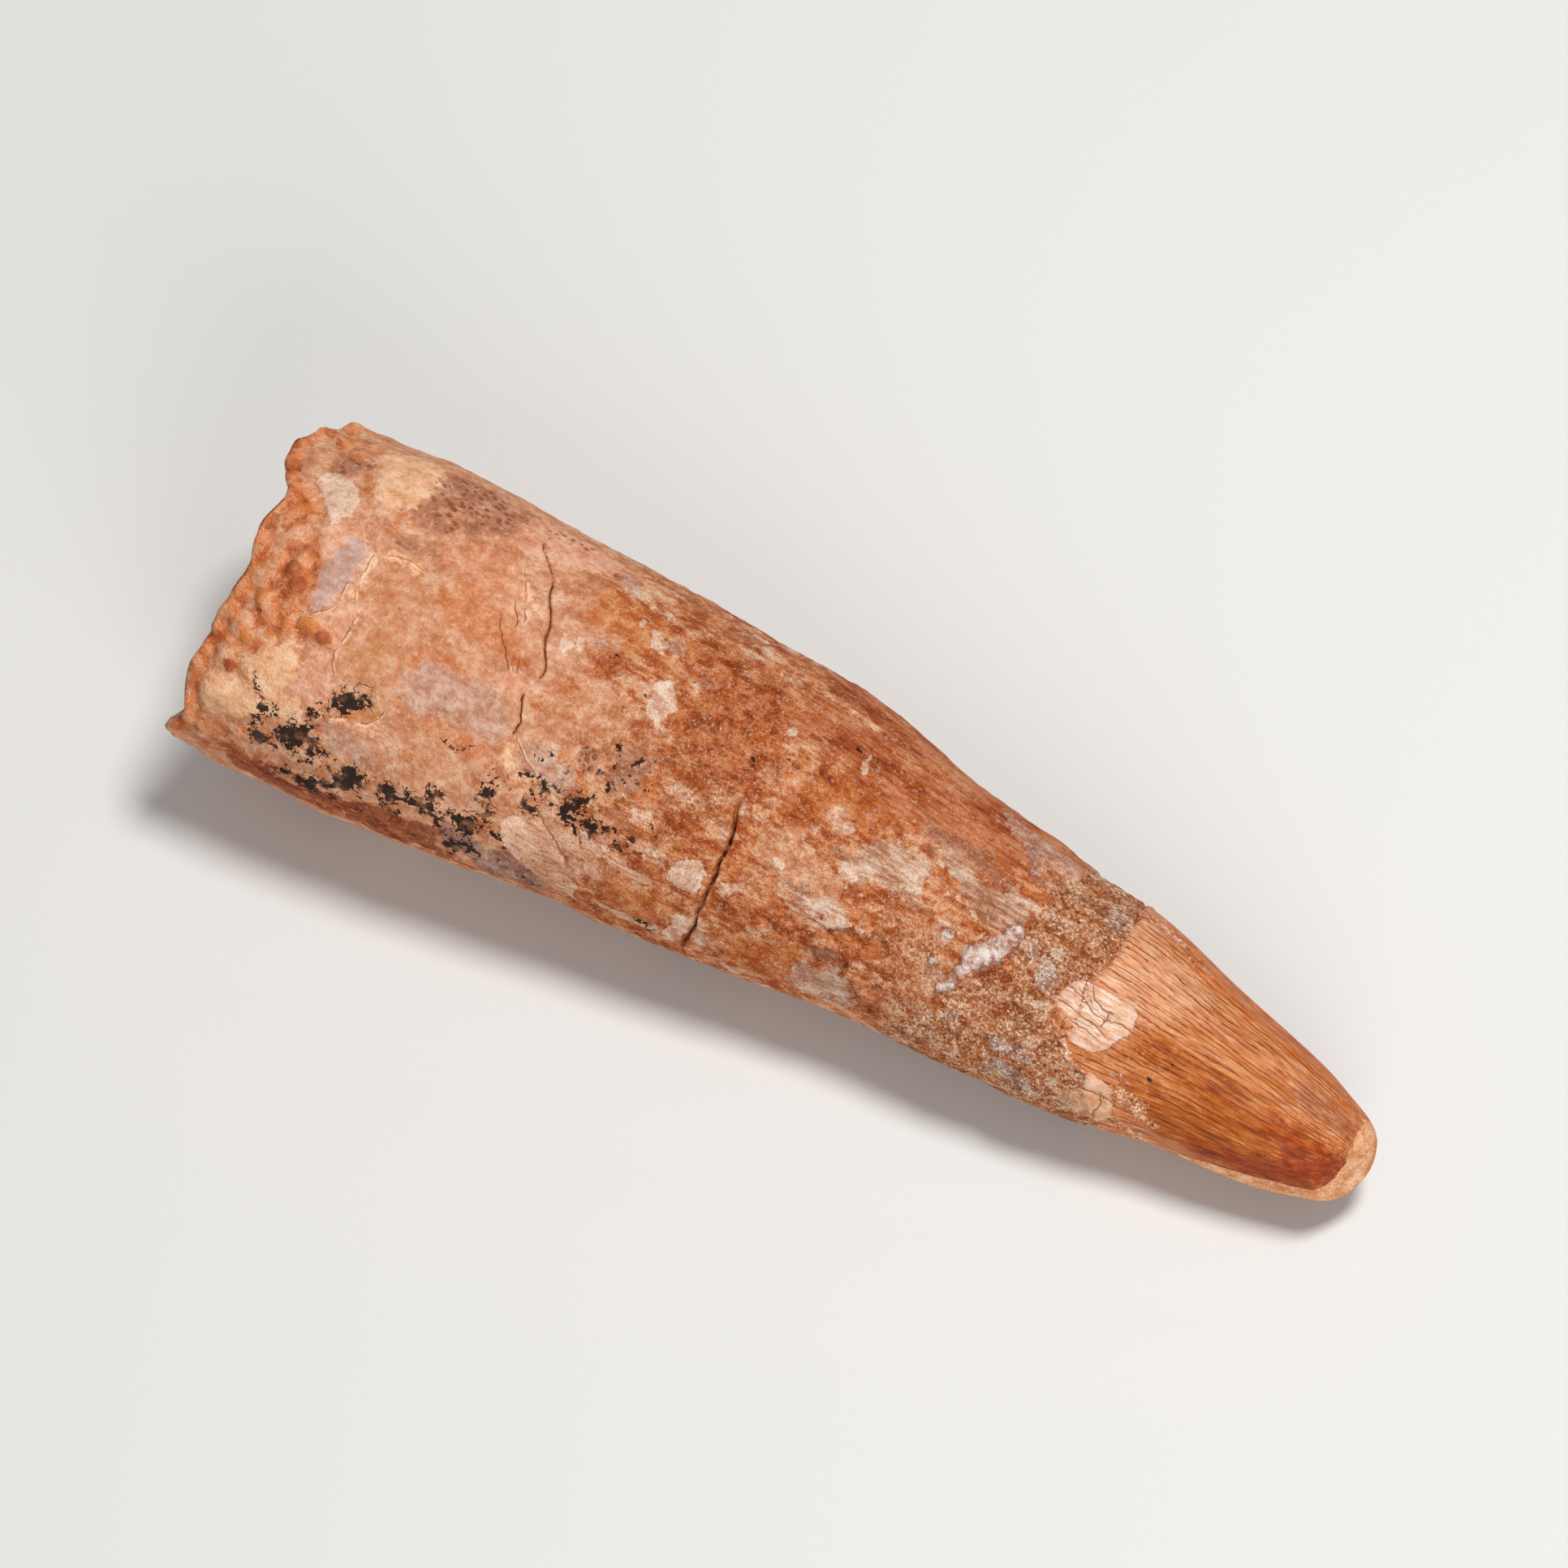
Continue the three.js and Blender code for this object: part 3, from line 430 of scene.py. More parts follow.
BLACK_STROKES = [
    (0.1, [(4, 9.6), (4.3, 10.2), (4.8, 10.5)]), (0.12, [(9.7, 12.2), (10, 12.3)]),
    (0.08, [(5.8, 11), (6.1, 11)]), (0.12, [(14.7, 13.9), (15, 13.9)]), (0.1, [(16.1, 15.3), (16.3, 15.5)]),
    (0.1, [(17.2, 13.2), (17.9, 13.6)]), (0.1, [(15.1, 11.8), (15.4, 11.7)]),
    (0.06, [(16.2, 7.8), (16.6, 8.1), (17, 8.2), (17.3, 7.7), (17.7, 7.5)]),
    (0.16, [(20.8, 12.1), (21.3, 12.3)]), (0.08, [(25.2, 9), (25.4, 9.5), (25.9, 9.9)]),
    (0.08, [(22.3, 8.4), (22.7, 9.1)]), (0.08, [(21, 7.4), (21.6, 7.7)]),
    (0.08, [(26.1, 5.8), (26.3, 6.2)]), (0.06, [(25.5, 3.3), (25.7, 3.6)]),
    (0.05, [(27.4, 3.8), (28, 3.3)]), (0.08, [(29.5, 6.8), (29.9, 7.2)]), (0.1, [(28, 8.9), (28.4, 9.2)]),
    (0.06, [(24.3, 1.5), (24.8, 1.3)]), (0.1, [(28.7, 8.2), (29.1, 8.4)]), (0.06, [(32.9, 0.2), (33, 0.7)]),
    (0.04, [(34.4, -0.85), (35, -0.75)]), (0.06, [(17.5, -6.3), (17.6, -6.2)]),
    (0.06, [(22.3, -1.7), (22.5, -1.6)]), (0.06, [(25.1, -0.2), (25.3, -0.1)]),
    (0.03, [(37.5, -4.2), (37.9, -4.1)]),
]

# Ovals in which small black specks gather.
SPECK_CLOUDS = [
    (7.6, 12.4, 3.4, 1.6), (11.6, 13, 2.4, 1.6), (15.6, 12.6, 2.8, 1), (18.8, 13.2, 2.2, 2),
    (20, 10.8, 1.2, 1.4), (25.4, 8.4, 3, 1.2), (24.7, 4.9, 1, 0.8), (28.6, 8.6, 1.8, 0.8),
    (9, 15.2, 2.6, 0.7), (27, 4.6, 1.4, 1.6), (22.4, 8.4, 1.6, 1.2), (21.8, 14, 2.4, 1.4), (10.5, 22, 4, 2),
    (20, -18.6, 3.4, 1.6), (28.8, 20.6, 2, 1.2), (22, 6.2, 1.6, 0.6),
]

# Thin pale seams where one scale of the root laps over the next. In the colour, the pale line is partly a
# painted highlight on the raised edge, and a dark line beside it is a painted shadow.
SEAMS = [
    [(9.6, -1), (8, -0.9), (7, -0.5), (7, 1.2), (7.3, 2.2), (7.7, 3)],
    [(6.6, 2), (6.7, 3.1), (6.2, 4.2), (5.6, 4.7)],
    [(8.1, 2.8), (8.1, 4.4), (8, 5.9), (8.4, 7.1)],
    [(15, -4), (15.6, -3.2), (16.2, -2.2), (16.7, -1)],
    [(12.4, 7.6), (12.2, 8.4), (11.5, 9.3), (10, 9.6), (8.6, 10.1)],
    [(20.2, 5.8), (21.2, 6.8), (22.6, 7.6), (23.6, 7.8)],
    [(6, -14), (10, -15.5), (14, -14.6), (17, -16.6), (16, -20)],
    [(8, 19), (12, 19.6), (16, 18.8), (19, 21), (18, 25)],
]

# Hairline cracks, open and dark.
HAIRLINES = [
    [(15.3, -0.7), (15.7, 0), (16.2, 0.6), (16.7, 1), (17, 1.6), (17.4, 2.2)],
    [(17.7, 1.5), (17.9, 2)],
    [(15.5, -1.8), (16.2, -1.1), (16.4, -0.4)],
    [(22.9, 9.3), (24.2, 10.3), (25.6, 11.5)],
    [(56.7, 1.2), (56.9, 2.2), (57.1, 3), (57.05, 3.9)],
    [(57.2, 1.3), (57.5, 1.8), (58.2, 2), (58.8, 1.9)],
    [(58.6, 2.1), (58.7, 2.8)],
    [(55.7, 2.9), (56.6, 2.9), (57.1, 3), (58.2, 3.1), (59.2, 3.4)],
    [(56, 1.9), (56.9, 2), (57.9, 2.5), (58.6, 2.5), (59.6, 2.2), (60.4, 2.3)],
    [(57, 3.6), (57.9, 3.7), (58.8, 3.9)],
    [(60.3, 7.3), (60.5, 8.2), (60.2, 9), (60.3, 9.9)],
    [(59.1, 7.6), (60.2, 7.4), (61.2, 7.6)],
    [(42, 7.05), (40.8, 6.9), (40.2, 7)],
    [(24, -21), (25.6, -18), (25, -15)],
]

# A strip of porcelain-like bone along the ledge, and the rounded beads on it.
PORCELAIN = [
    [(51.9, 0.1), (52, 1), (51.8, 1.9), (51.5, 2.7), (50.9, 3.5), (50.3, 4.2), (49.9, 4.6), (49.6, 4.4),
     (49.7, 3.9), (49.2, 3.6), (49.3, 3), (50.2, 2.5), (50.7, 1.8), (50.8, 1), (51.3, 0.4)],
]
BEADS = [
    (51.55, 0.5, 0.5, 0.33, 25), (51.45, 1.1, 0.62, 0.34, 28), (51.2, 1.7, 0.7, 0.34, 32),
    (50.9, 2.28, 0.74, 0.34, 38), (50.5, 2.82, 0.74, 0.33, 42), (50.1, 3.36, 0.68, 0.33, 45),
    (49.8, 3.92, 0.6, 0.32, 45), (49.7, 4.5, 0.44, 0.3, 40), (49.5, 5.2, 0.45, 0.32, 60),
    (49.1, 5.8, 0.3, 0.3), (48, 3.1, 0.4, 0.3, -30), (48, 4.9, 0.3, 0.2),
]
PITS = [
    (52.1, 3.4, 0.35, 0.35), (52.3, 2.7, 0.22, 0.2), (55, 4.1, 0.28, 0.22), (56.3, 5.5, 0.22, 0.22),
    (54.7, 2.8, 0.16, 0.16), (54, 5.6, 0.2, 0.2), (50.9, 3.9, 0.12, 0.16, 45), (50.5, 4.25, 0.1, 0.12, 45),
    (53.2, -3.8, 0.3, 0.2),
]
CROWN_SPECKS = [
    (62.5, 4.1, 0.22, 0.15), (63.3, 2.5, 0.16, 0.12), (70.1, 2.7, 0.09, 0.08), (69.9, 3.2, 0.1, 0.08),
    (70.6, 3.7, 0.12, 0.1), (59.5, 0, 0.1, 0.09), (66.4, -2.1, 0.09, 0.08), (64.8, 1.4, 0.09, 0.07),
    (62.2, 2.4, 0.08, 0.06), (63.3, 0.4, 0.08, 0.06), (62.3, 0.2, 0.07, 0.06), (61.4, -1.2, 0.08, 0.07),
    (63.1, 4.3, 0.08, 0.07), (63.6, 4.1, 0.07, 0.06), (63.7, 6.9, 0.1, 0.14), (61.9, -2.3, 0.07, 0.07),
]

# Every kind of patch: its name, its rows, and how far its outline is shaken.
PATCHES = [
    ("tan", TAN, 0.12), ("salmon", SALMON, 0.2), ("pinkish", PINKISH, 0.15), ("lens", LENS, 0.08),
    ("lilac", LILAC, 0.2), ("lavender", LAVENDER, 0.2), ("orange", ORANGE, 0.5), ("rust", RUST, 0.5),
    ("mauve", MAUVE, 0.25), ("khaki", KHAKI, 0.3), ("ochre", OCHRE, 0.15), ("flank", FLANK, 0.6),
    ("grey_white", GREY_WHITE, 0.3), ("cream", CREAM, 0.15), ("purple", PURPLE, 0.3),
    ("dark_red_and_shade", DARK_RED_AND_SHADE, 0.2), ("wood", WOOD, 0.15), ("whitish", WHITISH, 0.12), ("crust", CRUST, 0.2),
    ("dark_lump", DARK_NODULES, 0.1), ("amber_lump", AMBER_NODULES, 0.1), ("dots", BROWN_DOTS, 0.4),
    ("sandy", SANDY, 0.6), ("cement", CEMENT, 0.25), ("sand_on_crown", SAND_ON_CROWN, 0.25),
    ("porcelain", PORCELAIN, 0.1), ("bead", BEADS, 0.05), ("shard", SHARDS, 0.15), ("pit", PITS, 0.05),
    ("flake", FLAKE, 0.15), ("crown_pale", CROWN_PALE, 0.4), ("crown_top", CROWN_TOP, 0.3),
    ("crown_amber", CROWN_AMBER, 0.3), ("crown_deep", CROWN_DEEP, 0.3), ("crown_honey", CROWN_HONEY, 0.2),
    ("crown_mauve", CROWN_MAUVE, 0.3), ("crown_speck", CROWN_SPECKS, 0.03), ("black", BLACK_MARKS, 0.12),
    ("specks", SPECK_CLOUDS, 0.4),
]


# ------------------------------------------------------------------ curves and noise

def smooth(low, high, value):
    share = np.clip((value - low) / (high - low), 0, 1)
    return share * share * (3 - 2 * share)


def along_table(table, column, x):
    """A smooth curve through the rows of a table, as the solid's own sections have it."""
    rows = table[:, 0]
    values = table[:, column]
    before = np.maximum(np.arange(len(rows)) - 1, 0)
    after = np.minimum(np.arange(len(rows)) + 1, len(rows) - 1)
    slopes = (values[after] - values[before]) / (rows[after] - rows[before])
    row = np.clip(np.searchsorted(rows, x) - 1, 0, len(rows) - 2)
    span = rows[row + 1] - rows[row]
    share = np.clip((x - rows[row]) / span, 0, 1)
    square = share ** 2
    cube = share ** 3
    ends = (2 * cube - 3 * square + 1) * values[row] + (3 * square - 2 * cube) * values[row + 1]
    bend = (cube - 2 * square + share) * slopes[row] + (cube - square) * slopes[row + 1]
    return ends + bend * span


def around_path(path, degrees):
    """A value given at some angles, eased between them all the way around."""
    path = np.array(path, float)
    closed = np.vstack([path[-1] - (360, 0), path, path[0] + (360, 0)])
    angle = np.mod(degrees, 360)
    row = np.clip(np.searchsorted(closed[:, 0], angle, side="right") - 1, 0, len(closed) - 2)
    share = smooth(closed[row, 0], closed[row + 1, 0], angle)
    return closed[row, 1] + (closed[row + 1, 1] - closed[row, 1]) * share


def lattice(ix, iy, iz, seed):
    mask = 0xFFFFFFFF
    mix = (ix * 374761393 + iy * 668265263 + iz * 1442695041 + seed * 974634777) & mask
    mix = ((mix ^ (mix >> 13)) * 1274126177) & mask
    mix = ((mix ^ (mix >> 15)) * 461845907) & mask
    return (mix ^ (mix >> 16)) / 4294967295.0


def noise(points, size, seed):
    """Smooth noise from -1 to 1, with lumps about as wide as size."""
    at = points / size
    cell = np.floor(at).astype(np.int64)
    ease = smooth(0, 1, at - cell)
    total = np.zeros(points.shape[:-1])
    for corner in range(8):
        step = (corner & 1, (corner >> 1) & 1, (corner >> 2) & 1)
        weight = np.ones(points.shape[:-1])
        for axis in range(3):
            weight = weight * (ease[..., axis] if step[axis] else 1 - ease[..., axis])
        total += weight * lattice(*(cell[..., axis] + step[axis] for axis in range(3)), seed)
    return 2 * total - 1


def pebbles(points, size, seed):
    """Rounded bumps, one in each cell of about this size: 1 at their tops, 0 between them."""
    at = points / size
    cell = np.floor(at).astype(np.int64)
    nearest = np.full(points.shape[:-1], 9.0)
    for corner in range(27):
        other = cell + (corner % 3 - 1, corner // 3 % 3 - 1, corner // 9 - 1)
        gap = 0.0
        for axis in range(3):
            inside = lattice(other[..., 0], other[..., 1], other[..., 2], seed + axis)
            gap = gap + (other[..., axis] + 0.15 + 0.7 * inside - at[..., axis]) ** 2
        nearest = np.minimum(nearest, gap)
    return np.sqrt(np.clip(1 - nearest / 0.5, 0, 1))


# ------------------------------------------------------------------ the skin as a surface

FAR = 3.0                   # fields of marks aren't followed further than this from an outline
ROOT_FADE = (50, 57)        # where the root's relief gives way to the crown's
TIP_FADE = (71, 75)         # where the ridges and flutes of the crown end
RELIEF_END = (73.5, 75.5)   # where all relief ends
RUST_START = (17, 27)       # where the root turns rusty and grainy
EDGES = [(RIM_STATION, RIM_PATH), (THIN_CRACK_STATION, THIN_CRACK_PATH),
         (MAIN_CRACK_STATION, MAIN_CRACK_PATH), (LEDGE_STATION, LEDGE_PATH),
         (CROWN_STATION, CROWN_PATH), (STRAIGHT_STATION, [[0, STRAIGHT_STATION]]),
         (LENGTH, [[0, LENGTH]])]

# Layers of noise: the height, the size of the lumps and the seed of each.
ROOT_GRAIN = [(0.055, 1.4, 20), (0.042, 0.6, 21)]
SAND_GRAIN = [(0.06, 0.75, 23), (0.055, 0.36, 24)]
CRUST_GRIT = [(0.12, 0.8, 30)]
END_GRIT = [(0.14, 0.9, 110), (0.07, 0.4, 111)]
CHIP_EDGE = [(0.34, 1.1, 50), (0.16, 0.45, 51)]
CRACK_WANDER = [(0.16, 0.9, 52), (0.07, 0.35, 53)]
WEAR_WANDER = [(0.2, 0.8, 108)]

# How far noise shakes the outlines of marks, and the seed of that noise.
SAND_SHAKE, STROKE_SHAKE = (0.3, 44), (0.12, 40)
SEAM_SHAKE, HAIRLINE_SHAKE = (0.16, 46), (0.1, 48)
FIRST_PATCH_SEED = 60
STROKE_WEIGHT = 2.5         # makes thin strokes as black as the masses

# Marks that stand out from the skin or go into it: the field, the height, and the distances
# inside the outline over which the height is reached.
RAISED_MARKS = [("pit", -0.25, -0.05, 0.2), ("porcelain", 0.12, -0.05, 0.15),
                ("dark_lump", 0.3, -0.1, 0.3), ("amber_lump", 0.3, -0.1, 0.3)]
LAPPING_MARKS, LAP_HEIGHT, LAP_SLOPE = ("tan", "lens", "lilac", "pinkish", "cream", "whitish"), 0.05, 0.12
GRIT, GRIT_IN_GRAINY, GRIT_SIZE = 0.014, 0.026, 0.36
PEBBLE_SIZE, PEBBLE_LOW, PEBBLE_HIGH, PEBBLE_BED = 1.15, 0.08, 0.5, 0.16
PEBBLE_VARIETY = (1.9, 29)              # how wide areas of taller pebbles are, and their seed
SEAM_STEP, SEAM_STEP_REACH, SEAM_LINE, SEAM_LINE_WIDTH = 0.07, 0.7, 0.04, 0.16
HAIRLINE_DEPTH, HAIRLINE_WIDTH = 0.12, 0.12
MAIN_CRACK_DEPTH, MAIN_CRACK_WIDTH = 0.6, 0.2
THIN_CRACK_DEPTH, THIN_CRACK_WIDTH, THIN_CRACK_WANDER = 0.3, 0.12, 0.6
BEAD_HEIGHT, BEAD_ROUNDING = 0.28, 0.3
FLAKE_LINE, FLAKE_LINE_WIDTH = 0.05, 0.14
CROWN_RIDGE, CROWN_RIDGE_WIDTH = 0.08, 0.35
CHIP_RIM, CHIP_FLOOR = 1.04, 0.86       # shares of a chip's size where its slope starts and ends
RUSTY_SHARE, ALONG_SHARE = 0.4, 0.6     # what the marks and the place add to the graininess
SAND_GRAININESS = 0.9
END_INNER, END_OUTER = 0.03, 0.985      # shares of the rim at which the end's rings start and stop
END_GRIT_FADE = 0.05
MARK_MARGIN = 1.5                       # how far around a mark its distance is worked out


def layers(points, rows):
    return sum(height * noise(points, size, seed) for height, size, seed in rows)


def ring_x(station, degrees):
    """The x of a station at an angle: each edge bends the rings near it to its own line."""
    shifts = [around_path(path, degrees) - at for at, path in EDGES]
    shift = np.zeros(np.broadcast(station, degrees).shape)
    for index, ((low, _), (high, _)) in enumerate(zip(EDGES, EDGES[1:])):
        share = (station - low) / (high - low)
        inside = (station >= low) & (station <= high)
        shift = np.where(inside, shifts[index] * (1 - share) + shifts[index + 1] * share, shift)
    return station + shift


def band(station, at, half_width):
    return 1 - smooth(0, half_width, np.abs(station - at))


def angle_apart(degrees, at):
    return np.mod(degrees - at + 540, 360) - 180


def to_segment(start, end, along, across):
    """Distance to a straight piece of a path, and a value whose sign is the side of it."""
    (x0, q0), (x1, q1) = start, end
    dx, dq = x1 - x0, q1 - q0
    share = np.clip(((along - x0) * dx + (across - q0) * dq) / (dx * dx + dq * dq), 0, 1)
    gap = np.hypot(along - x0 - share * dx, across - q0 - share * dq)
    return gap, (along - x0) * dq - (across - q0) * dx


def inside_oval(oval, along, across):
    """Millimetres inside an oval, below zero outside it."""
    x, q, half_length, half_width, *turned = oval
    turn = math.radians(turned[0]) if turned else 0.0
    ahead = (along - x) * math.cos(turn) + (across - q) * math.sin(turn)
    aside = (across - q) * math.cos(turn) - (along - x) * math.sin(turn)
    return (1 - np.hypot(ahead / half_length, aside / half_width)) * min(half_length, half_width)


def inside_outline(corners, along, across):
    """Millimetres inside a closed outline, below zero outside it."""
    nearest = np.full(along.shape, 9.0)
    inside = np.zeros(along.shape, bool)
    for (x0, q0), (x1, q1) in zip(corners, corners[1:] + corners[:1]):
        nearest = np.minimum(nearest, to_segment((x0, q0), (x1, q1), along, across)[0])
        slope = (x1 - x0) / (q1 - q0) if q1 != q0 else 0.0
        inside ^= ((q0 > across) != (q1 > across)) & (along < x0 + (across - q0) * slope)
    return np.where(inside, nearest, -nearest)


class Skin:
    """The tooth's surface on the grid: every field is an array of rings by angles."""

    def __init__(self, stations, degrees):
        self.station, self.degrees = np.meshgrid(stations, degrees, indexing="ij")
        cos, sin = np.cos(np.radians(self.degrees)), np.sin(np.radians(self.degrees))
        self.along = ring_x(self.station, self.degrees)
        self.width, height, y, z = (along_table(SECTIONS, k, self.along) for k in (1, 2, 3, 4))
        self.bare = np.stack([self.along, y + self.width * cos, z + height * sin], axis=-1)
        outward = np.stack([0 * cos, cos / self.width, sin / height], axis=-1)
        self.outward = outward / np.linalg.norm(outward, axis=-1, keepdims=True)
        self.across = self.arc_from_top(degrees)
        self.wander = layers(self.bare, CRACK_WANDER)

    def arc_from_top(self, degrees):
        steps = np.linalg.norm(np.diff(self.bare[..., 1:], axis=1), axis=-1)
        arc = np.concatenate([np.zeros((len(steps), 1)), np.cumsum(steps, axis=1)], axis=1)
        top = int(np.argmin(np.abs(degrees - 90)))
        return arc - arc[:, top:top + 1]

    def warped(self, size, amount, seed):
        """The along and across of each point, shaken by noise so that outlines turn ragged."""
        return (self.along + amount * noise(self.bare, size, seed),
                self.across + amount * noise(self.bare, size, seed + 1))

    def patches(self, rows, ragged, seed):
        """Millimetres inside the nearest of some ovals and outlines, below zero outside them."""
        along, across = self.warped(1.3, ragged, seed)
        field = np.full(self.along.shape, -FAR)
        for row in rows:
            oval = isinstance(row, tuple)
            half = max(row[2:4]) if oval else 0
            corners = np.array([row[:2]] if oval else row)
            reach = half + MARK_MARGIN
            low, high = corners.min(axis=0) - reach, corners.max(axis=0) + reach
            near = (along > low[0]) & (along < high[0]) & (across > low[1]) & (across < high[1])
            fill = inside_oval if oval else inside_outline
            field[near] = np.maximum(field[near], fill(row, along[near], across[near]))
        return field

    def path_distance(self, path, along, across):
        """Distance to a path, and that distance with the side of the path as its sign."""
        best = np.full(along.shape, 9.0)
        signed = best
        for start, end in zip(path, path[1:]):
            gap, side = to_segment(start, end, along, across)
            signed = np.where(gap < best, np.where(side < 0, -gap, gap), signed)
            best = np.minimum(best, gap)
        return best, signed

    def lines(self, paths, ragged, seed):
        """Distance to the nearest of some paths, with its side as the sign, and without."""
        along, across = self.warped(0.7, ragged, seed)
        best = np.full(self.along.shape, FAR)
        signed = best
        for path in paths:
            gap, sided = self.path_distance(path, along, across)
            signed = np.where(gap < best, sided, signed)
            best = np.minimum(best, gap)
        return signed, best

    def strokes(self, rows, ragged, seed):
        """Millimetres inside the nearest of some strokes, each with its own half width."""
        along, across = self.warped(0.6, ragged, seed)
        field = np.full(self.along.shape, -FAR)
        for half_width, path in rows:
            field = np.maximum(field, half_width - self.path_distance(path, along, across)[0])
        return field


def coarse_relief(skin):
    """The relief that the solid has too."""
    station, degrees, bare = skin.station, skin.degrees, skin.bare
    root = 1 - smooth(*ROOT_FADE, station)
    crust = 1 - smooth(0.4 * CRUST_LENGTH, CRUST_LENGTH, station)
    relief = LUMP_HEIGHT * (0.3 + 0.7 * root) * noise(bare, LUMP_SIZE, 1)
    relief += KNOB_HEIGHT * root * noise(bare, KNOB_SIZE, 2)
    relief += CRUST_HEIGHT * crust * (np.abs(noise(bare, CRUST_GRAIN, 3)) - 0.3)
    past = smooth(LEDGE_STATION - 0.2, LEDGE_STATION + 0.2, station)
    filled = 1 - smooth(LEDGE_STATION + 0.5, CROWN_STATION - 0.4, station)
    sandy = past * (1 - smooth(CROWN_STATION - 0.3, CROWN_STATION, station))
    relief += MATRIX_HEIGHT * sandy * noise(bare, MATRIX_GRAIN, 4)
    relief -= LEDGE_DROP * around_path(LEDGE_REACH, degrees) * past * filled
    crown = smooth(CROWN_STATION, CROWN_STATION + 0.6, station) * (1 - smooth(*TIP_FADE, station))
    for at in CARINA_ANGLES:
        apart = np.abs(angle_apart(degrees, at))
        relief += crown * CARINA_HEIGHT * (1 - smooth(0, CARINA_WIDTH, apart))
    return relief + crown * FLUTE_HEIGHT * np.cos(np.radians(degrees) * FLUTE_COUNT)


def scale_hollows(skin):
    """Scales that came off, with a ragged edge: the depth, and millimetres inside them."""
    depth = np.zeros(skin.station.shape)
    inside = np.full(skin.station.shape, -FAR)
    ragged = layers(skin.bare, CHIP_EDGE)
    for x, angle, length, width, deep in SCALES:
        across = np.radians(angle_apart(skin.degrees, angle)) * skin.width
        share = ragged + np.hypot((skin.along - x) / (length / 2), across / (width / 2))
        depth += deep * (1 - smooth(CHIP_FLOOR, CHIP_RIM, share))
        inside = np.maximum(inside, (0.98 - share) * width / 2)
    return depth, inside


def crack_relief(skin):
    """The depth of the open cracks, which follow a wandering line."""
    main = band(skin.station + skin.wander, MAIN_CRACK_STATION, MAIN_CRACK_WIDTH)
    thin = band(skin.station + THIN_CRACK_WANDER * skin.wander, THIN_CRACK_STATION, THIN_CRACK_WIDTH)
    return (MAIN_CRACK_DEPTH * around_path(MAIN_CRACK_REACH, skin.degrees) * main
            + THIN_CRACK_DEPTH * around_path(THIN_CRACK_REACH, skin.degrees) * thin)


def fine_relief(skin, fields):
    """What is too small for the solid: grain, seams, nodules, pits and grooves."""
    bare, station = skin.bare, skin.station
    sand = smooth(-0.1, 0.15, fields["sand"])
    enamel = smooth(0, 0.3, fields["enamel"]) * (1 - sand)
    root = (1 - sand) * (1 - enamel)
    grit = (GRIT + GRIT_IN_GRAINY * fields["grainy"]) * noise(bare, GRIT_SIZE, 22)
    relief = root * (layers(bare, ROOT_GRAIN) + grit) + sand * layers(bare, SAND_GRAIN)
    crust = np.maximum(smooth(-0.4, 0.4, fields["crust"]), 0.6 * band(station, 0.3, 1.5))
    fields["pebble"] = pebbles(bare, PEBBLE_SIZE, 25)
    uneven = PEBBLE_LOW + (PEBBLE_HIGH - PEBBLE_LOW) * smooth(-0.2, 0.7, noise(bare, *PEBBLE_VARIETY))
    relief += crust * (uneven * fields["pebble"] + layers(bare, CRUST_GRIT) - PEBBLE_BED)
    lapped = smooth(-0.06, 0.06, fields["seam"]) * (1 - smooth(0.05, SEAM_STEP_REACH, fields["seam_gap"]))
    relief += root * (SEAM_STEP * lapped + SEAM_LINE * (1 - smooth(0, SEAM_LINE_WIDTH, fields["seam_gap"])))
    for name in LAPPING_MARKS:
        relief += LAP_HEIGHT * smooth(0, LAP_SLOPE, fields[name]) * root
    for name, height, start, end in RAISED_MARKS:
        relief += height * smooth(start, end, fields[name])
    relief -= HAIRLINE_DEPTH * (1 - smooth(0, HAIRLINE_WIDTH, fields["hairline_gap"]))
    relief += BEAD_HEIGHT * np.sqrt(np.clip(fields["bead"] / BEAD_ROUNDING, 0, 1))
    relief -= 0.5 * CROWN_GROOVE * band(station, CROWN_STATION - 0.15, 0.22)
    relief += CROWN_RIDGE * band(station, CROWN_STATION + CROWN_RIDGE_WIDTH, CROWN_RIDGE_WIDTH)
    return relief - FLAKE_LINE * band(fields["flake"], 0, FLAKE_LINE_WIDTH) * enamel


def wear_down(points):
    """Cuts the wear faces, with slightly rounded edges."""
    for point, facing in WEAR_FACES:
        facing = np.array(facing) / np.linalg.norm(facing)
        proud = (points - np.array(point, float)) @ facing
        cut = 0.5 * (proud + np.sqrt(proud ** 2 + WEAR_ROUNDING ** 2))
        points = points - np.where(proud > -1.5, cut, 0)[..., None] * facing
    return points


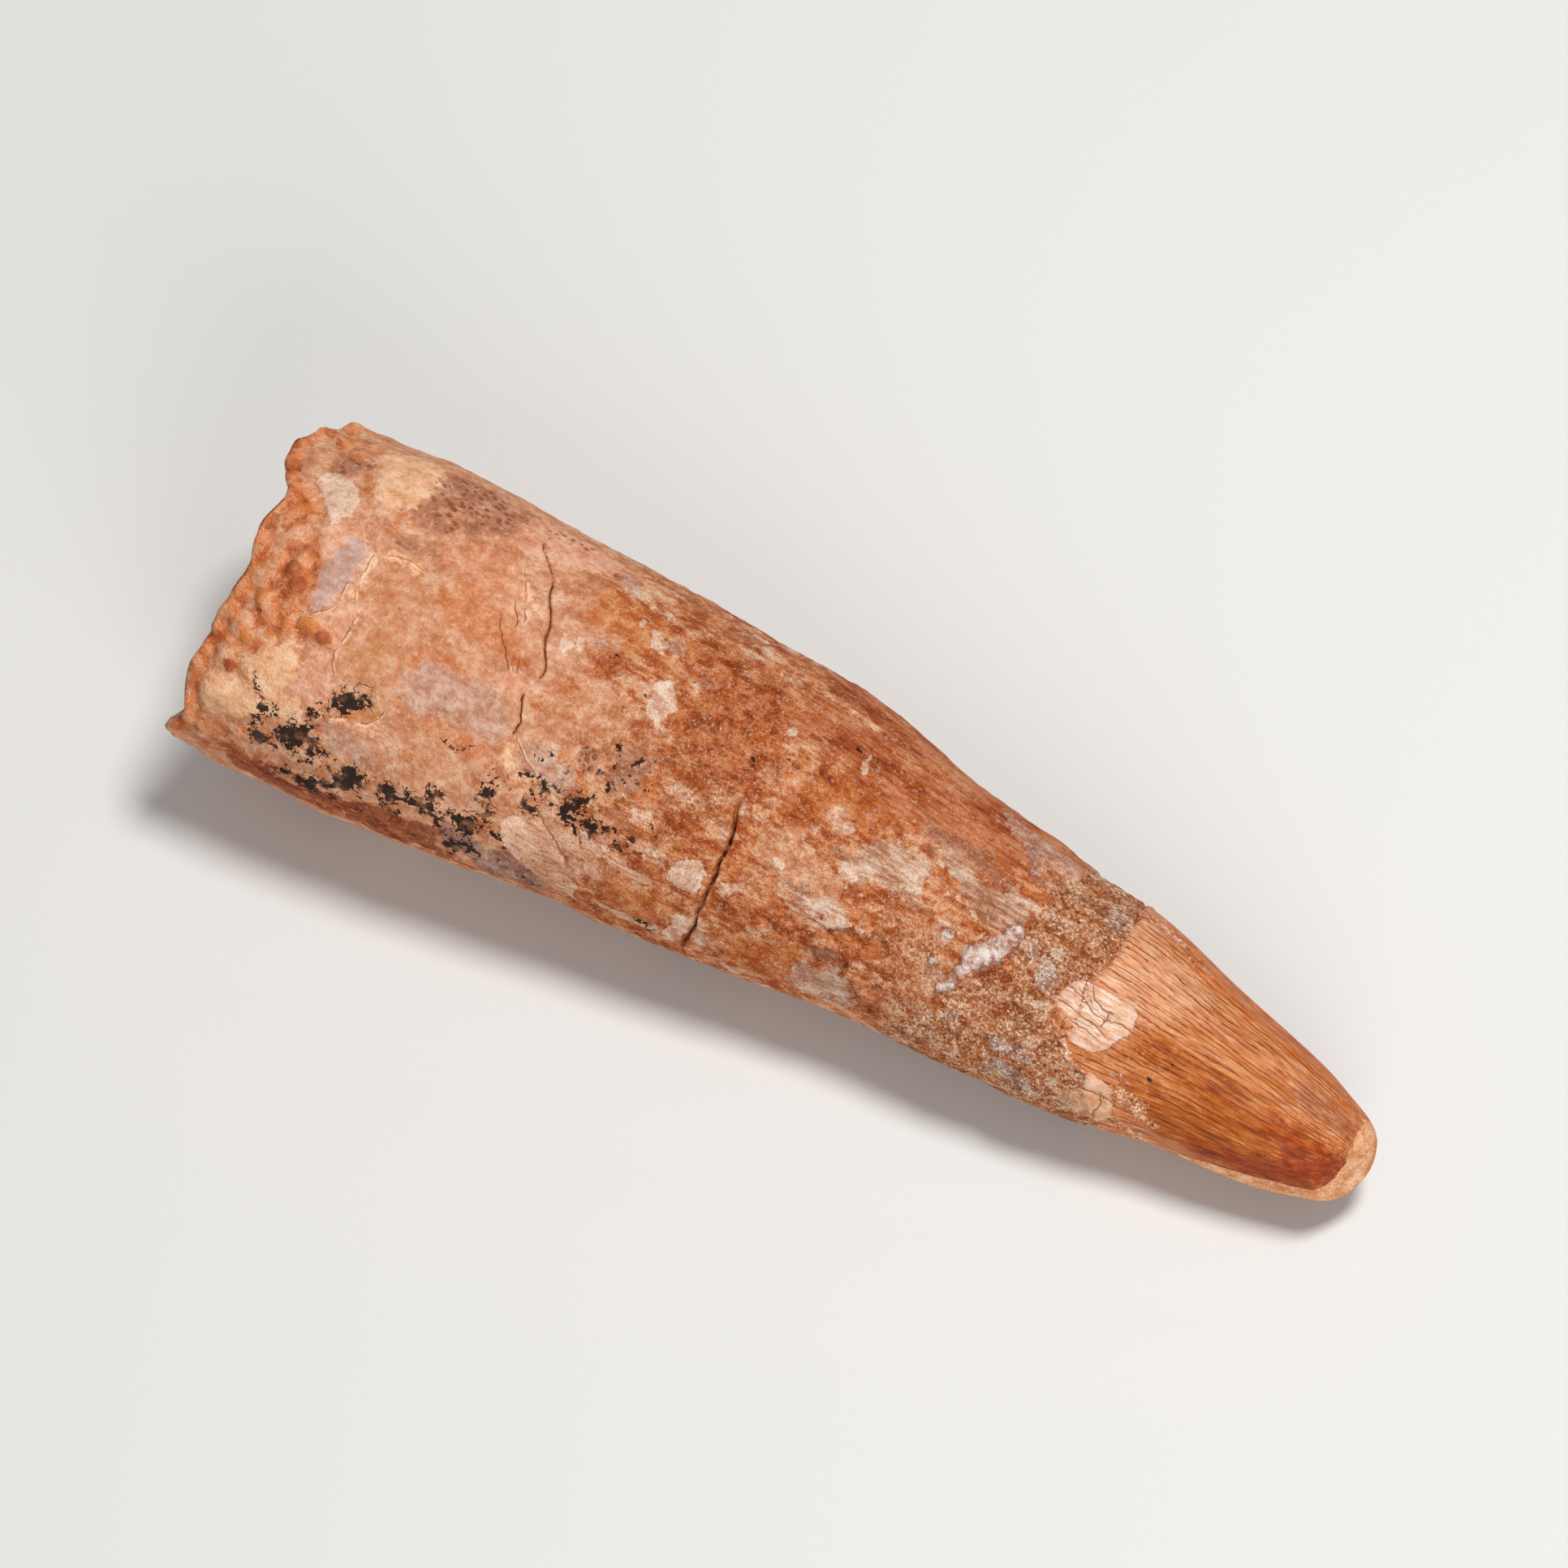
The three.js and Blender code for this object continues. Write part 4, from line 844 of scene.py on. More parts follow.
def make_fields(skin):
    """Where each kind of mark is: one array each, in millimetres, above zero inside."""
    station = skin.station
    sand_band = np.minimum(station - LEDGE_STATION, CROWN_STATION - station)
    fields = {name: skin.patches(rows, ragged, FIRST_PATCH_SEED + 2 * order)
              for order, (name, rows, ragged) in enumerate(PATCHES)}
    fields["sand"] = np.maximum.reduce([sand_band, skin.patches(SAND, *SAND_SHAKE), fields["sand_on_crown"]])
    fields["crust"] = np.maximum(fields["crust"], 1.0 - station)
    strokes = STROKE_WEIGHT * skin.strokes(BLACK_STROKES, *STROKE_SHAKE)
    fields["black"] = np.maximum(fields["black"], strokes)
    fields["enamel"] = station - CROWN_STATION
    fields["wear"] = skin.along + layers(skin.bare, WEAR_WANDER) - around_path(WEAR_PATH, skin.degrees)
    fields["seam"], fields["seam_gap"] = skin.lines(SEAMS, *SEAM_SHAKE)
    fields["hairline"], fields["hairline_gap"] = skin.lines(HAIRLINES, *HAIRLINE_SHAKE)
    rusty = np.maximum.reduce([fields["rust"], fields["sandy"], fields["crust"]])
    grainy = smooth(*RUST_START, station) * ALONG_SHARE + RUSTY_SHARE * smooth(-0.8, 1.0, rusty)
    fields["grainy"] = np.maximum(grainy * smooth(0.1, -0.1, fields["enamel"]),
                                  SAND_GRAININESS * smooth(-0.2, 0.2, fields["sand"]))
    fields["main_crack"] = station + skin.wander - MAIN_CRACK_STATION
    fields["thin_crack"] = station + THIN_CRACK_WANDER * skin.wander - THIN_CRACK_STATION
    fields["main_reach"] = around_path(MAIN_CRACK_REACH, skin.degrees)
    fields["thin_reach"] = around_path(THIN_CRACK_REACH, skin.degrees)
    return fields


# ------------------------------------------------------------------ the mesh

def ring_stations():
    ends = [start for start, _ in RING_STEPS[1:]] + [LENGTH]
    spans = [start + (end - start) * np.arange(steps) / steps
             for (start, steps), end in zip(RING_STEPS, ends)]
    return np.concatenate([*spans, [LENGTH]])


def ring_angles():
    even = -90 + 360 * np.arange(POINTS_AROUND) / POINTS_AROUND
    return even + TOP_CROWDING * np.cos(np.radians(even))


def end_rings(rim):
    """The broken end, from its middle out to the rim."""
    middle = np.array([along_table(SECTIONS, k, np.zeros(1))[0] for k in (3, 4)])
    rings = []
    for share in np.linspace(END_INNER, END_OUTER, END_RINGS):
        points = np.empty_like(rim)
        points[:, 1:] = middle + (rim[:, 1:] - middle) * share
        points[:, 0] = rim[:, 0] * share + np.interp(share, END_STEPS[:, 0], END_STEPS[:, 1])
        rough = END_ROUGHNESS * noise(points, END_GRAIN, 5)
        points[:, 0] += rough + min(1.0, (1 - share) / END_GRIT_FADE) * layers(points, END_GRIT)
        rings.append(points)
    return np.array(rings)


def tip_rings(last):
    middle = last.mean(axis=0)
    rings = []
    for step in range(1, TIP_RINGS):
        share = 1 - step / TIP_RINGS
        rings.append(middle + (last - middle) * share + (TIP_BULGE * (1 - share ** 2), 0, 0))
    return np.array(rings)


def ring_faces(count):
    """Faces between the rings, and two fans of triangles that close the ends."""
    rows, columns = np.meshgrid(np.arange(count - 1), np.arange(POINTS_AROUND), indexing="ij")
    near = rows * POINTS_AROUND + columns
    near_next = rows * POINTS_AROUND + (columns + 1) % POINTS_AROUND
    quads = np.stack([near, near_next, near_next + POINTS_AROUND, near + POINTS_AROUND], axis=-1)
    faces = quads.reshape(-1, 4).tolist()
    root_middle, last = count * POINTS_AROUND, (count - 1) * POINTS_AROUND
    for column in range(POINTS_AROUND):
        after = (column + 1) % POINTS_AROUND
        faces += [(root_middle, after, column), (root_middle + 1, last + column, last + after)]
    return faces


def extend(field):
    """A field of the skin as one list of points, carried on over the broken end and the tip."""
    rows = [np.repeat(field[:1], END_RINGS, axis=0), field, np.repeat(field[-1:], TIP_RINGS - 1, axis=0)]
    return np.concatenate([np.concatenate(rows).ravel(), [field[0].mean(), field[-1].mean()]])


def add_field(mesh, name, values):
    attribute = mesh.attributes.new(name, "FLOAT", "POINT")
    attribute.data.foreach_set("value", np.ascontiguousarray(values, dtype=np.float32))


def build_tooth():
    skin = Skin(ring_stations(), ring_angles())
    fields = make_fields(skin)
    hollows, fields["chip"] = scale_hollows(skin)
    relief = coarse_relief(skin) - hollows - crack_relief(skin) + fine_relief(skin, fields)
    relief *= 1 - smooth(*RELIEF_END, skin.station)
    points = wear_down(skin.bare + relief[..., None] * skin.outward)
    rings = np.concatenate([end_rings(points[0]), points, wear_down(tip_rings(points[-1]))])
    vertices = np.concatenate([rings.reshape(-1, 3), rings[:1].mean(axis=1), rings[-1:].mean(axis=1)])
    vertices[:, 2] = np.maximum(vertices[:, 2], 0)
    vertices -= (*FOOTPRINT_MIDDLE, 0)
    mesh = bpy.data.meshes.new("fossil_tooth")
    mesh.from_pydata((vertices * MM).tolist(), [], ring_faces(len(rings)))
    mesh.shade_smooth()
    for name, field in fields.items():
        add_field(mesh, name, extend(np.clip(field, -FAR, FAR)))
    broken = extend(0 * skin.station)
    broken[:END_RINGS * POINTS_AROUND] = np.repeat(np.linspace(1, 0, END_RINGS), POINTS_AROUND)
    broken[-2] = 1
    add_field(mesh, "broken", broken)
    add_field(mesh, "station", extend(skin.station))
    radians = np.radians(skin.degrees)
    add_field(mesh, "towards_side", extend(np.cos(radians)))
    add_field(mesh, "towards_top", extend(np.sin(radians)))
    return link_object("fossil_tooth", mesh)


# ------------------------------------------------------------------ colours

# Families of colours, named after the marks that have them: darkest, middle and palest, at
# the positions in TONE_STOPS.
TONE_STOPS = (0.36, 0.5, 0.64)
TONES = {
    "ground": [(0.44, 0.155, 0.07), (0.59, 0.272, 0.147), (0.74, 0.45, 0.3)],
    "late_ground": [(0.31, 0.06, 0.016), (0.5, 0.161, 0.056), (0.7, 0.361, 0.199)],
    "tan": [(0.43, 0.145, 0.057), (0.58, 0.254, 0.127), (0.71, 0.41, 0.262)],
    "lens": [(0.46, 0.146, 0.057), (0.61, 0.249, 0.126), (0.74, 0.409, 0.259)],
    "salmon": [(0.43, 0.117, 0.039), (0.58, 0.216, 0.093), (0.7, 0.351, 0.199)],
    "pinkish": [(0.55, 0.205, 0.106), (0.71, 0.336, 0.208), (0.8, 0.487, 0.347)],
    "lilac": [(0.38, 0.166, 0.1), (0.53, 0.297, 0.211), (0.68, 0.468, 0.37)],
    "lavender": [(0.42, 0.23, 0.18), (0.49, 0.32, 0.27), (0.6, 0.45, 0.41)],
    "mauve": [(0.28, 0.093, 0.044), (0.4, 0.168, 0.093), (0.53, 0.268, 0.171)],
    "purple": [(0.16, 0.073, 0.052), (0.28, 0.146, 0.111), (0.44, 0.273, 0.213)],
    "orange": [(0.36, 0.073, 0.015), (0.52, 0.146, 0.039), (0.65, 0.263, 0.1)],
    "rust": [(0.25, 0.042, 0.009), (0.44, 0.107, 0.03), (0.6, 0.203, 0.074)],
    "dark_red_and_shade": [(0.14, 0.023, 0.006), (0.26, 0.057, 0.019), (0.4, 0.117, 0.046)],
    "flank": [(0.24, 0.038, 0.009), (0.45, 0.109, 0.031), (0.61, 0.237, 0.108)],
    "cream": [(0.64, 0.283, 0.13), (0.81, 0.449, 0.248), (0.87, 0.585, 0.398)],
    "whitish": [(0.56, 0.292, 0.171), (0.73, 0.487, 0.347), (0.84, 0.663, 0.536)],
    "grey_white": [(0.32, 0.127, 0.06), (0.53, 0.302, 0.19), (0.75, 0.566, 0.439)],
    "porcelain": [(0.34, 0.16, 0.11), (0.63, 0.43, 0.35), (0.84, 0.72, 0.66)],
    "ochre": [(0.41, 0.132, 0.039), (0.5, 0.195, 0.069), (0.6, 0.288, 0.13)],
    "wood": [(0.5, 0.219, 0.111), (0.7, 0.4, 0.254), (0.81, 0.546, 0.398)],
    "crust": [(0.33, 0.054, 0.01), (0.58, 0.151, 0.039), (0.74, 0.302, 0.13)],
    "sand": [(0.26, 0.073, 0.026), (0.57, 0.235, 0.108), (0.82, 0.53, 0.36)],
    "cement": [(0.31, 0.15, 0.1), (0.55, 0.335, 0.25), (0.75, 0.59, 0.5)],
    "flake": [(0.56, 0.24, 0.11), (0.74, 0.45, 0.29), (0.84, 0.63, 0.5)],
    "shard": [(0.5, 0.2, 0.09), (0.68, 0.36, 0.2), (0.8, 0.52, 0.36)],
    "wear": [(0.58, 0.21, 0.085), (0.74, 0.37, 0.19), (0.84, 0.54, 0.35)],
    "enamel": [(0.42, 0.1, 0.024), (0.6, 0.205, 0.068), (0.75, 0.37, 0.185)],
    "crown_pale": [(0.58, 0.2, 0.07), (0.735, 0.35, 0.185), (0.82, 0.49, 0.31)],
    "crown_top": [(0.4, 0.07, 0.009), (0.59, 0.152, 0.023), (0.71, 0.272, 0.085)],
    "crown_honey": [(0.43, 0.107, 0.019), (0.6, 0.2, 0.05), (0.7, 0.315, 0.12)],
    "crown_amber": [(0.21, 0.03, 0.003), (0.43, 0.097, 0.011), (0.6, 0.2, 0.038)],
    "crown_deep": [(0.13, 0.009, 0.001), (0.33, 0.033, 0.003), (0.48, 0.098, 0.014)],
    "crown_mauve": [(0.3, 0.075, 0.025), (0.42, 0.14, 0.062), (0.56, 0.25, 0.13)],
}
TONES["khaki"] = TONES["ochre"]
# One of these for each grain of the crust at the broken rim.
GRAIN_COLOURS = [(0.46, 0.1, 0.02), (0.64, 0.19, 0.048), (0.72, 0.3, 0.12), (0.62, 0.23, 0.11),
                 (0.79, 0.44, 0.26), (0.54, 0.13, 0.03)]
AMBER = (0.6, 0.185, 0.036)
GARNET = (0.36, 0.068, 0.013)
BROWN = (0.23, 0.065, 0.024)
BLACK = (0.014, 0.01, 0.01)
CRACK_COLOUR = (0.05, 0.014, 0.004)
HAIRLINE_COLOUR = (0.2, 0.055, 0.016)
CRACK_EDGE = (0.42, 0.12, 0.035)
# Near-white of the painted glints: painted highlights on tiny grains.
PAINTED_GLINT_COLOUR = (0.84, 0.7, 0.6)
CROWN_LINE = (0.15, 0.034, 0.009)

# Marks, from the first painted to the last: the field, which is also the name of its tones,
# the noise that picks the tone, how soft its outline is and how far noise moves it, in
# millimetres, and its strength.
ROOT_LAYERS = [
    ("tan", "hue", 0.05, 0.8, 0.95), ("salmon", "hue", 0.12, 1.4, 0.9),
    ("orange", "hue", 0.4, 4.0, 0.85), ("rust", "hue", 0.4, 4.0, 0.88),
    ("flank", "fibre", 0.5, 3.0, 0.9), ("pinkish", "hue", 0.08, 1.1, 0.92),
    ("lens", "hue", 0.05, 0.8, 0.95), ("lilac", "hue", 0.22, 2.4, 0.84),
    ("lavender", "hue", 0.3, 2.8, 0.85), ("mauve", "hue", 0.2, 2.0, 0.88),
    ("khaki", "hue", 0.5, 3.0, 0.6), ("ochre", "hue", 0.06, 0.9, 0.9),
    ("grey_white", "fibre", 0.3, 2.6, 0.9), ("cream", "hue", 0.2, 1.8, 0.94),
    ("purple", "hue", 0.2, 2.4, 0.88), ("dark_red_and_shade", "hue", 0.15, 1.8, 0.9),
    ("wood", "fibre", 0.05, 0.9, 0.93), ("whitish", "hue", 0.04, 0.8, 0.93),
]
CROWN_LAYERS = [
    ("crown_pale", "enamel", 1.0, 2.2, 0.85), ("crown_top", "enamel", 0.35, 1.6, 0.85),
    ("crown_mauve", "enamel", 0.4, 2.0, 0.8), ("crown_amber", "enamel", 0.5, 1.8, 0.95),
    ("crown_honey", "enamel", 0.35, 1.6, 0.85), ("crown_deep", "enamel", 0.8, 2.2, 0.85),
]


# ------------------------------------------------------------------ material nodes

class Value:
    """What a socket gives. Sums, differences and products of these are made as nodes too."""

    def __init__(self, nodes, socket):
        self.nodes = nodes
        self.socket = socket

    def __add__(self, other):
        return self.nodes.math("ADD", self, other)

    def __sub__(self, other):
        return self.nodes.math("SUBTRACT", self, other)

    def __rsub__(self, other):
        return self.nodes.math("SUBTRACT", other, self)

    def __mul__(self, other):
        return self.nodes.math("MULTIPLY", self, other)

    __radd__, __rmul__ = __add__, __mul__


def shaken(value, by, reach):
    """A value moved by a noise around 0.5, by up to about a quarter of the reach."""
    return (by - 0.5) * reach + value


class Nodes:
    """Short calls for the nodes of one material. Positions and sizes are in millimetres."""

    def __init__(self, material):
        material.use_nodes = True
        self.tree = material.node_tree
        self.tree.nodes.clear()
        place = self.make("TexCoord", {}, "Object")
        self.place = self.make("VectorMath", {0: place, "Scale": 1 / MM}, operation="SCALE")

    def plug(self, socket, value):
        if isinstance(value, Value):
            self.tree.links.new(value.socket, socket)
        elif socket.type == "RGBA":
            socket.default_value = (*value, 1)
        else:
            socket.default_value = value

    def make(self, kind, inputs, output=0, **settings):
        """Makes a node and plugs its inputs. Gives the value of one of its outputs."""
        node = self.tree.nodes.new("ShaderNode" + kind)
        for name, setting in settings.items():
            setattr(node, name, setting)
        for name, value in inputs.items():
            self.plug(node.inputs[name], value)
        return Value(self, node.outputs[output])

    def surface(self, **inputs):
        """The material's surface, with the inputs named without their spaces."""
        node = self.tree.nodes.new("ShaderNodeBsdfPrincipled")
        for name, value in inputs.items():
            self.plug(node.inputs[name.replace("_", " ")], value)
        output = self.tree.nodes.new("ShaderNodeOutputMaterial")
        self.tree.links.new(node.outputs[0], output.inputs["Surface"])

    def math(self, operation, *values):
        return self.make("Math", dict(enumerate(values)), operation=operation)

    def larger(self, a, b):
        return self.math("MAXIMUM", a, b)

    def field(self, name):
        return self.make("Attribute", {}, "Fac", attribute_name=name)

    def moved(self, seed, offset, stretch=1.0):
        """The place of a point, moved by some offsets. A stretch under 1 draws noise out along x."""
        location = tuple(seed * part for part in offset)
        return self.make("Mapping", {"Vector": self.place, "Location": location, "Scale": (stretch, 1, 1)})

    def noise(self, size, detail, rough, seed, stretch=1.0):
        """Noise around 0.5."""
        place = self.moved(seed, NOISE_SHIFT, stretch)
        return self.make("TexNoise", {"Vector": place, "Scale": 1 / size, "Detail": detail,
                                      "Roughness": rough}, "Fac")

    def cells(self, size, seed):
        """Distance to the middle of a cell, and a random value from 0 to 1 for each cell."""
        inputs = {"Vector": self.moved(seed, CELL_SHIFT), "Scale": 1 / size}
        distance = self.make("TexVoronoi", inputs, "Distance")
        colour = Value(self, distance.socket.node.outputs["Color"])
        return distance, self.make("SeparateColor", {0: colour})

    def sparks(self, size):
        """A random value from 0 to 1 in each small cube of space."""
        snapped = self.make("VectorMath", {0: self.place, 1: (size, size, size)}, operation="SNAP")
        return self.make("TexWhiteNoise", {"Vector": snapped}, "Value", noise_dimensions="3D")

    def step(self, value, low, high):
        """0 below low, 1 above high, eased between them."""
        return self.make("MapRange", {"Value": value, "From Min": low, "From Max": high},
                         interpolation_type="SMOOTHSTEP")

    def near(self, value, inner, outer):
        """1 where a distance is closer to 0 than inner, 0 past outer."""
        return 1 - self.step(self.math("ABSOLUTE", value), inner, outer)

    def inside(self, name, warp, soft, reach):
        """1 inside a field's patches, with an outline that the noise makes ragged."""
        return self.step(shaken(self.field(name), warp, reach), -soft, soft)

    def mix(self, share, a, b):
        return self.make("Mix", {0: share, 6: a, 7: b}, 2, data_type="RGBA")

    def ramp(self, value, stops, interpolation="LINEAR"):
        colour = self.make("ValToRGB", {0: value})
        ramp = colour.socket.node.color_ramp
        ramp.interpolation = interpolation
        while len(ramp.elements) < len(stops):
            ramp.elements.new(0.5)
        for element, (at, tone) in zip(ramp.elements, stops):
            element.position = at
            element.color = (*tone, 1)
        return colour

    def tones(self, value, family):
        return self.ramp(value, list(zip(TONE_STOPS, TONES[family])))

    def painted(self, colour, marks):
        for name, tone, soft, reach, strength in marks:
            share = self.inside(name, self.edge, soft, reach) * strength
            colour = self.mix(share, colour, self.tones(getattr(self, tone), name))
        return colour

    def grained(self, colour, by, amount):
        """A colour made darker and lighter by a noise around 0.5."""
        return self.make("VectorMath", {0: colour, "Scale": (by - 0.5) * amount + 1}, operation="SCALE")


# How far noise and cells move with each seed, so that no two look alike.
NOISE_SHIFT, CELL_SHIFT = (17.3, 5.1, 9.7), (11.3, 3.7, 7.9)
GRAIN_SIZE, SPOT_SIZE, SPARK_SIZE = 0.17, 0.46, 0.09
# The noises that the whole fossil uses: size, detail, roughness, seed, and stretch along it.
NOISES = {
    "grit": (0.13, 2, 0.6, 1), "small": (0.42, 3, 0.66, 2), "tone": (1.0, 5, 0.74, 3, 0.75),
    "patchy": (1.0, 3, 0.65, 4), "mottle": (2.8, 2, 0.6, 5, 0.8), "stain": (1.7, 4, 0.66, 6, 0.7),
    "hair": (0.3, 5, 0.74, 7, 0.1), "streak": (0.34, 5, 0.72, 13, 0.045),
    "wave": (1.5, 3, 0.6, 14, 0.35), "fleck": (0.5, 4, 0.74, 18),
}


# The two sets of fine lines on the crown: how many go around it, how far they wander, in
# distances between two, the seed of their gaps, their half width in the same distances, and
# their strength.
CROWN_LINES = [(92, 2.3, 15, 0.19, 1.0), (170, 3.0, 16, 0.2, 0.6)]


def fossil_nodes(material):
    """Nodes with the noises and fields that every part of the fossil uses."""
    nodes = Nodes(material)
    for name, settings in NOISES.items():
        setattr(nodes, name, nodes.noise(*settings))
    nodes.grain_gap, nodes.grain_pick = nodes.cells(GRAIN_SIZE, 1)
    nodes.spot_gap, nodes.spot_pick = nodes.cells(SPOT_SIZE, 9)
    nodes.spark = nodes.sparks(SPARK_SIZE)
    nodes.station, nodes.grainy = nodes.field("station"), nodes.field("grainy")
    nodes.turn = nodes.math("ARCTAN2", nodes.field("towards_top"), nodes.field("towards_side"))
    nodes.fibre = shaken(nodes.hair, nodes.mottle, 0.7)
    nodes.enamel = nodes.streak * 0.86 + 0.07
    nodes.hue = (shaken(nodes.tone, nodes.small, 0.45) - 0.5) * (nodes.grainy * 0.72 + 0.78) + 0.5
    nodes.edge = shaken(nodes.patchy, nodes.small, 0.6)
    return nodes


def root_ground(nodes):
    """Pink-tan, turning to rust with pale blotches from the thin crack on."""
    hue, stain = nodes.hue, nodes.stain
    late = nodes.step(shaken(nodes.station, nodes.mottle, 30), 18, 28)
    streaky = shaken(hue, nodes.fibre, 0.7)
    colour = nodes.mix(late, nodes.tones(hue, "ground"), nodes.tones(streaky, "late_ground"))
    orange = nodes.step(late * 0.04 + stain, 0.57, 0.66)
    colour = nodes.mix(orange * 0.75, colour, nodes.tones(hue, "orange"))
    pale = nodes.step(stain, 0.45, 0.38) * (late * 0.55 + 0.15)
    return nodes.mix(pale, colour, nodes.tones(hue, "whitish"))


def scale_colour(nodes, colour):
    """Stain in the hollows of the scales that came off, and dark lines around them that are painted shadow
    under their torn edges.
    """
    chip = nodes.inside("chip", nodes.small, 0.03, 0.9)
    colour = nodes.mix(chip * 0.4, colour, nodes.tones(nodes.fibre, "rust"))
    # Painted shadow: a dark line along the edge of each hollow.
    edge = nodes.near(shaken(nodes.field("chip"), nodes.small, 1.1), 0.02, 0.1)
    return nodes.mix(edge * 0.6, colour, TONES["dark_red_and_shade"][0])


def crust_colour(nodes):
    """Grains of many oranges, darker in the gaps between them."""
    pebble = nodes.field("pebble")
    stops = [(k / len(GRAIN_COLOURS), colour) for k, colour in enumerate(GRAIN_COLOURS)]
    grain = nodes.ramp(nodes.spot_pick, stops, "CONSTANT")
    tone = shaken(pebble * 0.2 + 0.42, nodes.tone, 1.2)
    colour = nodes.mix(0.45, nodes.tones(tone, "crust"), grain)
    return nodes.mix(nodes.step(pebble, 0.34, 0.0) * 0.65, colour, TONES["crust"][0])


def root_marks(nodes, colour):
    """Flecks, crust at the rim, brown dots, and seams with a pale line that is partly a painted highlight
    and a dark line that is a painted shadow.
    """
    small, edge = nodes.small, nodes.edge
    colour = nodes.mix(nodes.step(nodes.fleck, 0.54, 0.66) * 0.5, colour, TONES["orange"][1])
    colour = nodes.mix(nodes.step(nodes.fleck, 0.45, 0.35) * 0.4, colour, TONES["pinkish"][2])
    crust = nodes.inside("crust", edge, 0.12, 1.8)
    colour = nodes.mix(crust * 0.92, colour, crust_colour(nodes))
    colour = nodes.mix(nodes.inside("amber_lump", small, 0.12, 0.4) * 0.75, colour, AMBER)
    colour = nodes.mix(nodes.inside("dark_lump", small, 0.12, 0.4) * 0.8, colour, GARNET)
    dot = nodes.step(shaken(nodes.spot_gap, small, 0.6), 0.5, 0.38) * nodes.step(nodes.spot_pick, 0.2, 0.25)
    colour = nodes.mix(nodes.inside("dots", edge, 0.3, 2.0) * dot * 0.8, colour, BROWN)
    seam = shaken(nodes.field("seam"), small, 0.3)
    close = nodes.step(nodes.field("seam_gap"), 0.5, 0.35)
    # The seam's pale line is partly its own colour and partly a painted highlight on its raised edge; the
    # dark line beside it is a painted shadow.
    pale_seam_and_highlight = nodes.near(seam, 0.03, 0.11) * close * nodes.step(edge, 0.42, 0.54)
    seam_shadow = nodes.near(seam + 0.13, 0.01, 0.06) * close * nodes.step(edge, 0.42, 0.5)
    colour = nodes.mix(pale_seam_and_highlight * 0.6, colour, TONES["cream"][2])
    colour = nodes.mix(seam_shadow * 0.75, colour, TONES["crust"][0])
    late = nodes.grainy * 0.75 + 0.25
    dark_fleck = nodes.step(small, 0.6, 0.66) * nodes.step(nodes.stain, 0.44, 0.5)
    colour = nodes.mix(dark_fleck * late * 0.75, colour, TONES["rust"][0])
    pale_fleck = nodes.step(small, 0.38, 0.33)
    return nodes.mix(pale_fleck * late * 0.5, colour, TONES["whitish"][1]), crust


def sand_colour(nodes):
    """Fine grains of many colours in brown and greyish cement, with small dark pits."""
    stain = nodes.stain
    tone = shaken(nodes.grain_pick * 0.24 + 0.385, nodes.tone, 0.9)
    ruddy = nodes.step(stain, 0.5, 0.58) * 0.65
    colour = nodes.mix(ruddy, nodes.tones(tone, "sand"), nodes.tones(tone, "orange"))
    patch = nodes.larger(nodes.inside("cement", nodes.edge, 0.15, 1.6), nodes.step(stain, 0.38, 0.32))
    colour = nodes.mix(patch * 0.85, colour, nodes.tones(tone, "cement"))
    colour = nodes.mix(nodes.step(nodes.grain_gap, 0.5, 0.85) * 0.6, colour, TONES["sand"][0])
    hole = nodes.step(nodes.spot_gap, 0.34, 0.22) * nodes.step(nodes.spot_pick, 0.78, 0.8)
    return nodes.mix(hole * 0.75, colour, TONES["dark_red_and_shade"][0])


def porcelain_over(nodes, colour):
    """Pale rounded beads, paler toward their middles and darker between them as painted shading of their
    round shape, with dark dots where they meet the sand.
    """
    small, height = nodes.small, nodes.field("bead")
    strip = nodes.inside("porcelain", small, 0.05, 0.9)
    bead = nodes.inside("bead", small, 0.04, 0.3)
    # Painted light and shade: the tone rises with each bead's height, so the tops are paler and the strip
    # between the beads is darker.
    tone = height * 0.34 + (nodes.hue - 0.04)
    colour = nodes.mix(nodes.larger(bead, strip * 0.9), colour, nodes.tones(tone, "porcelain"))
    rim = nodes.near(height + 0.05, 0.0, 0.08) * nodes.step(small, 0.48, 0.56)
    return nodes.mix(rim * 0.8, colour, TONES["purple"][0])


def crown_lines(nodes, count, wander, seed, half_width, strength):
    """Fine dark lines that run to the tip, wavy, and fading here and there."""
    phase = nodes.turn * (count / (2 * math.pi)) + (nodes.wave - 0.5) * wander
    line = nodes.near(nodes.math("FRACT", phase) - 0.5, 0.04, half_width)
    return line * nodes.step(nodes.noise(0.5, 2, 0.6, seed, 0.07), 0.35, 0.56) * strength


def flake_colour(nodes, lines):
    """Cream splinters, where a flake of enamel shows the dentine."""
    splinters = nodes.tones(shaken(nodes.tone, nodes.streak, 0.9), "flake")
    splinters = nodes.mix(nodes.step(nodes.patchy, 0.52, 0.6) * 0.6, splinters, TONES["lilac"][2])
    return nodes.mix(lines * 0.4, splinters, TONES["rust"][1])


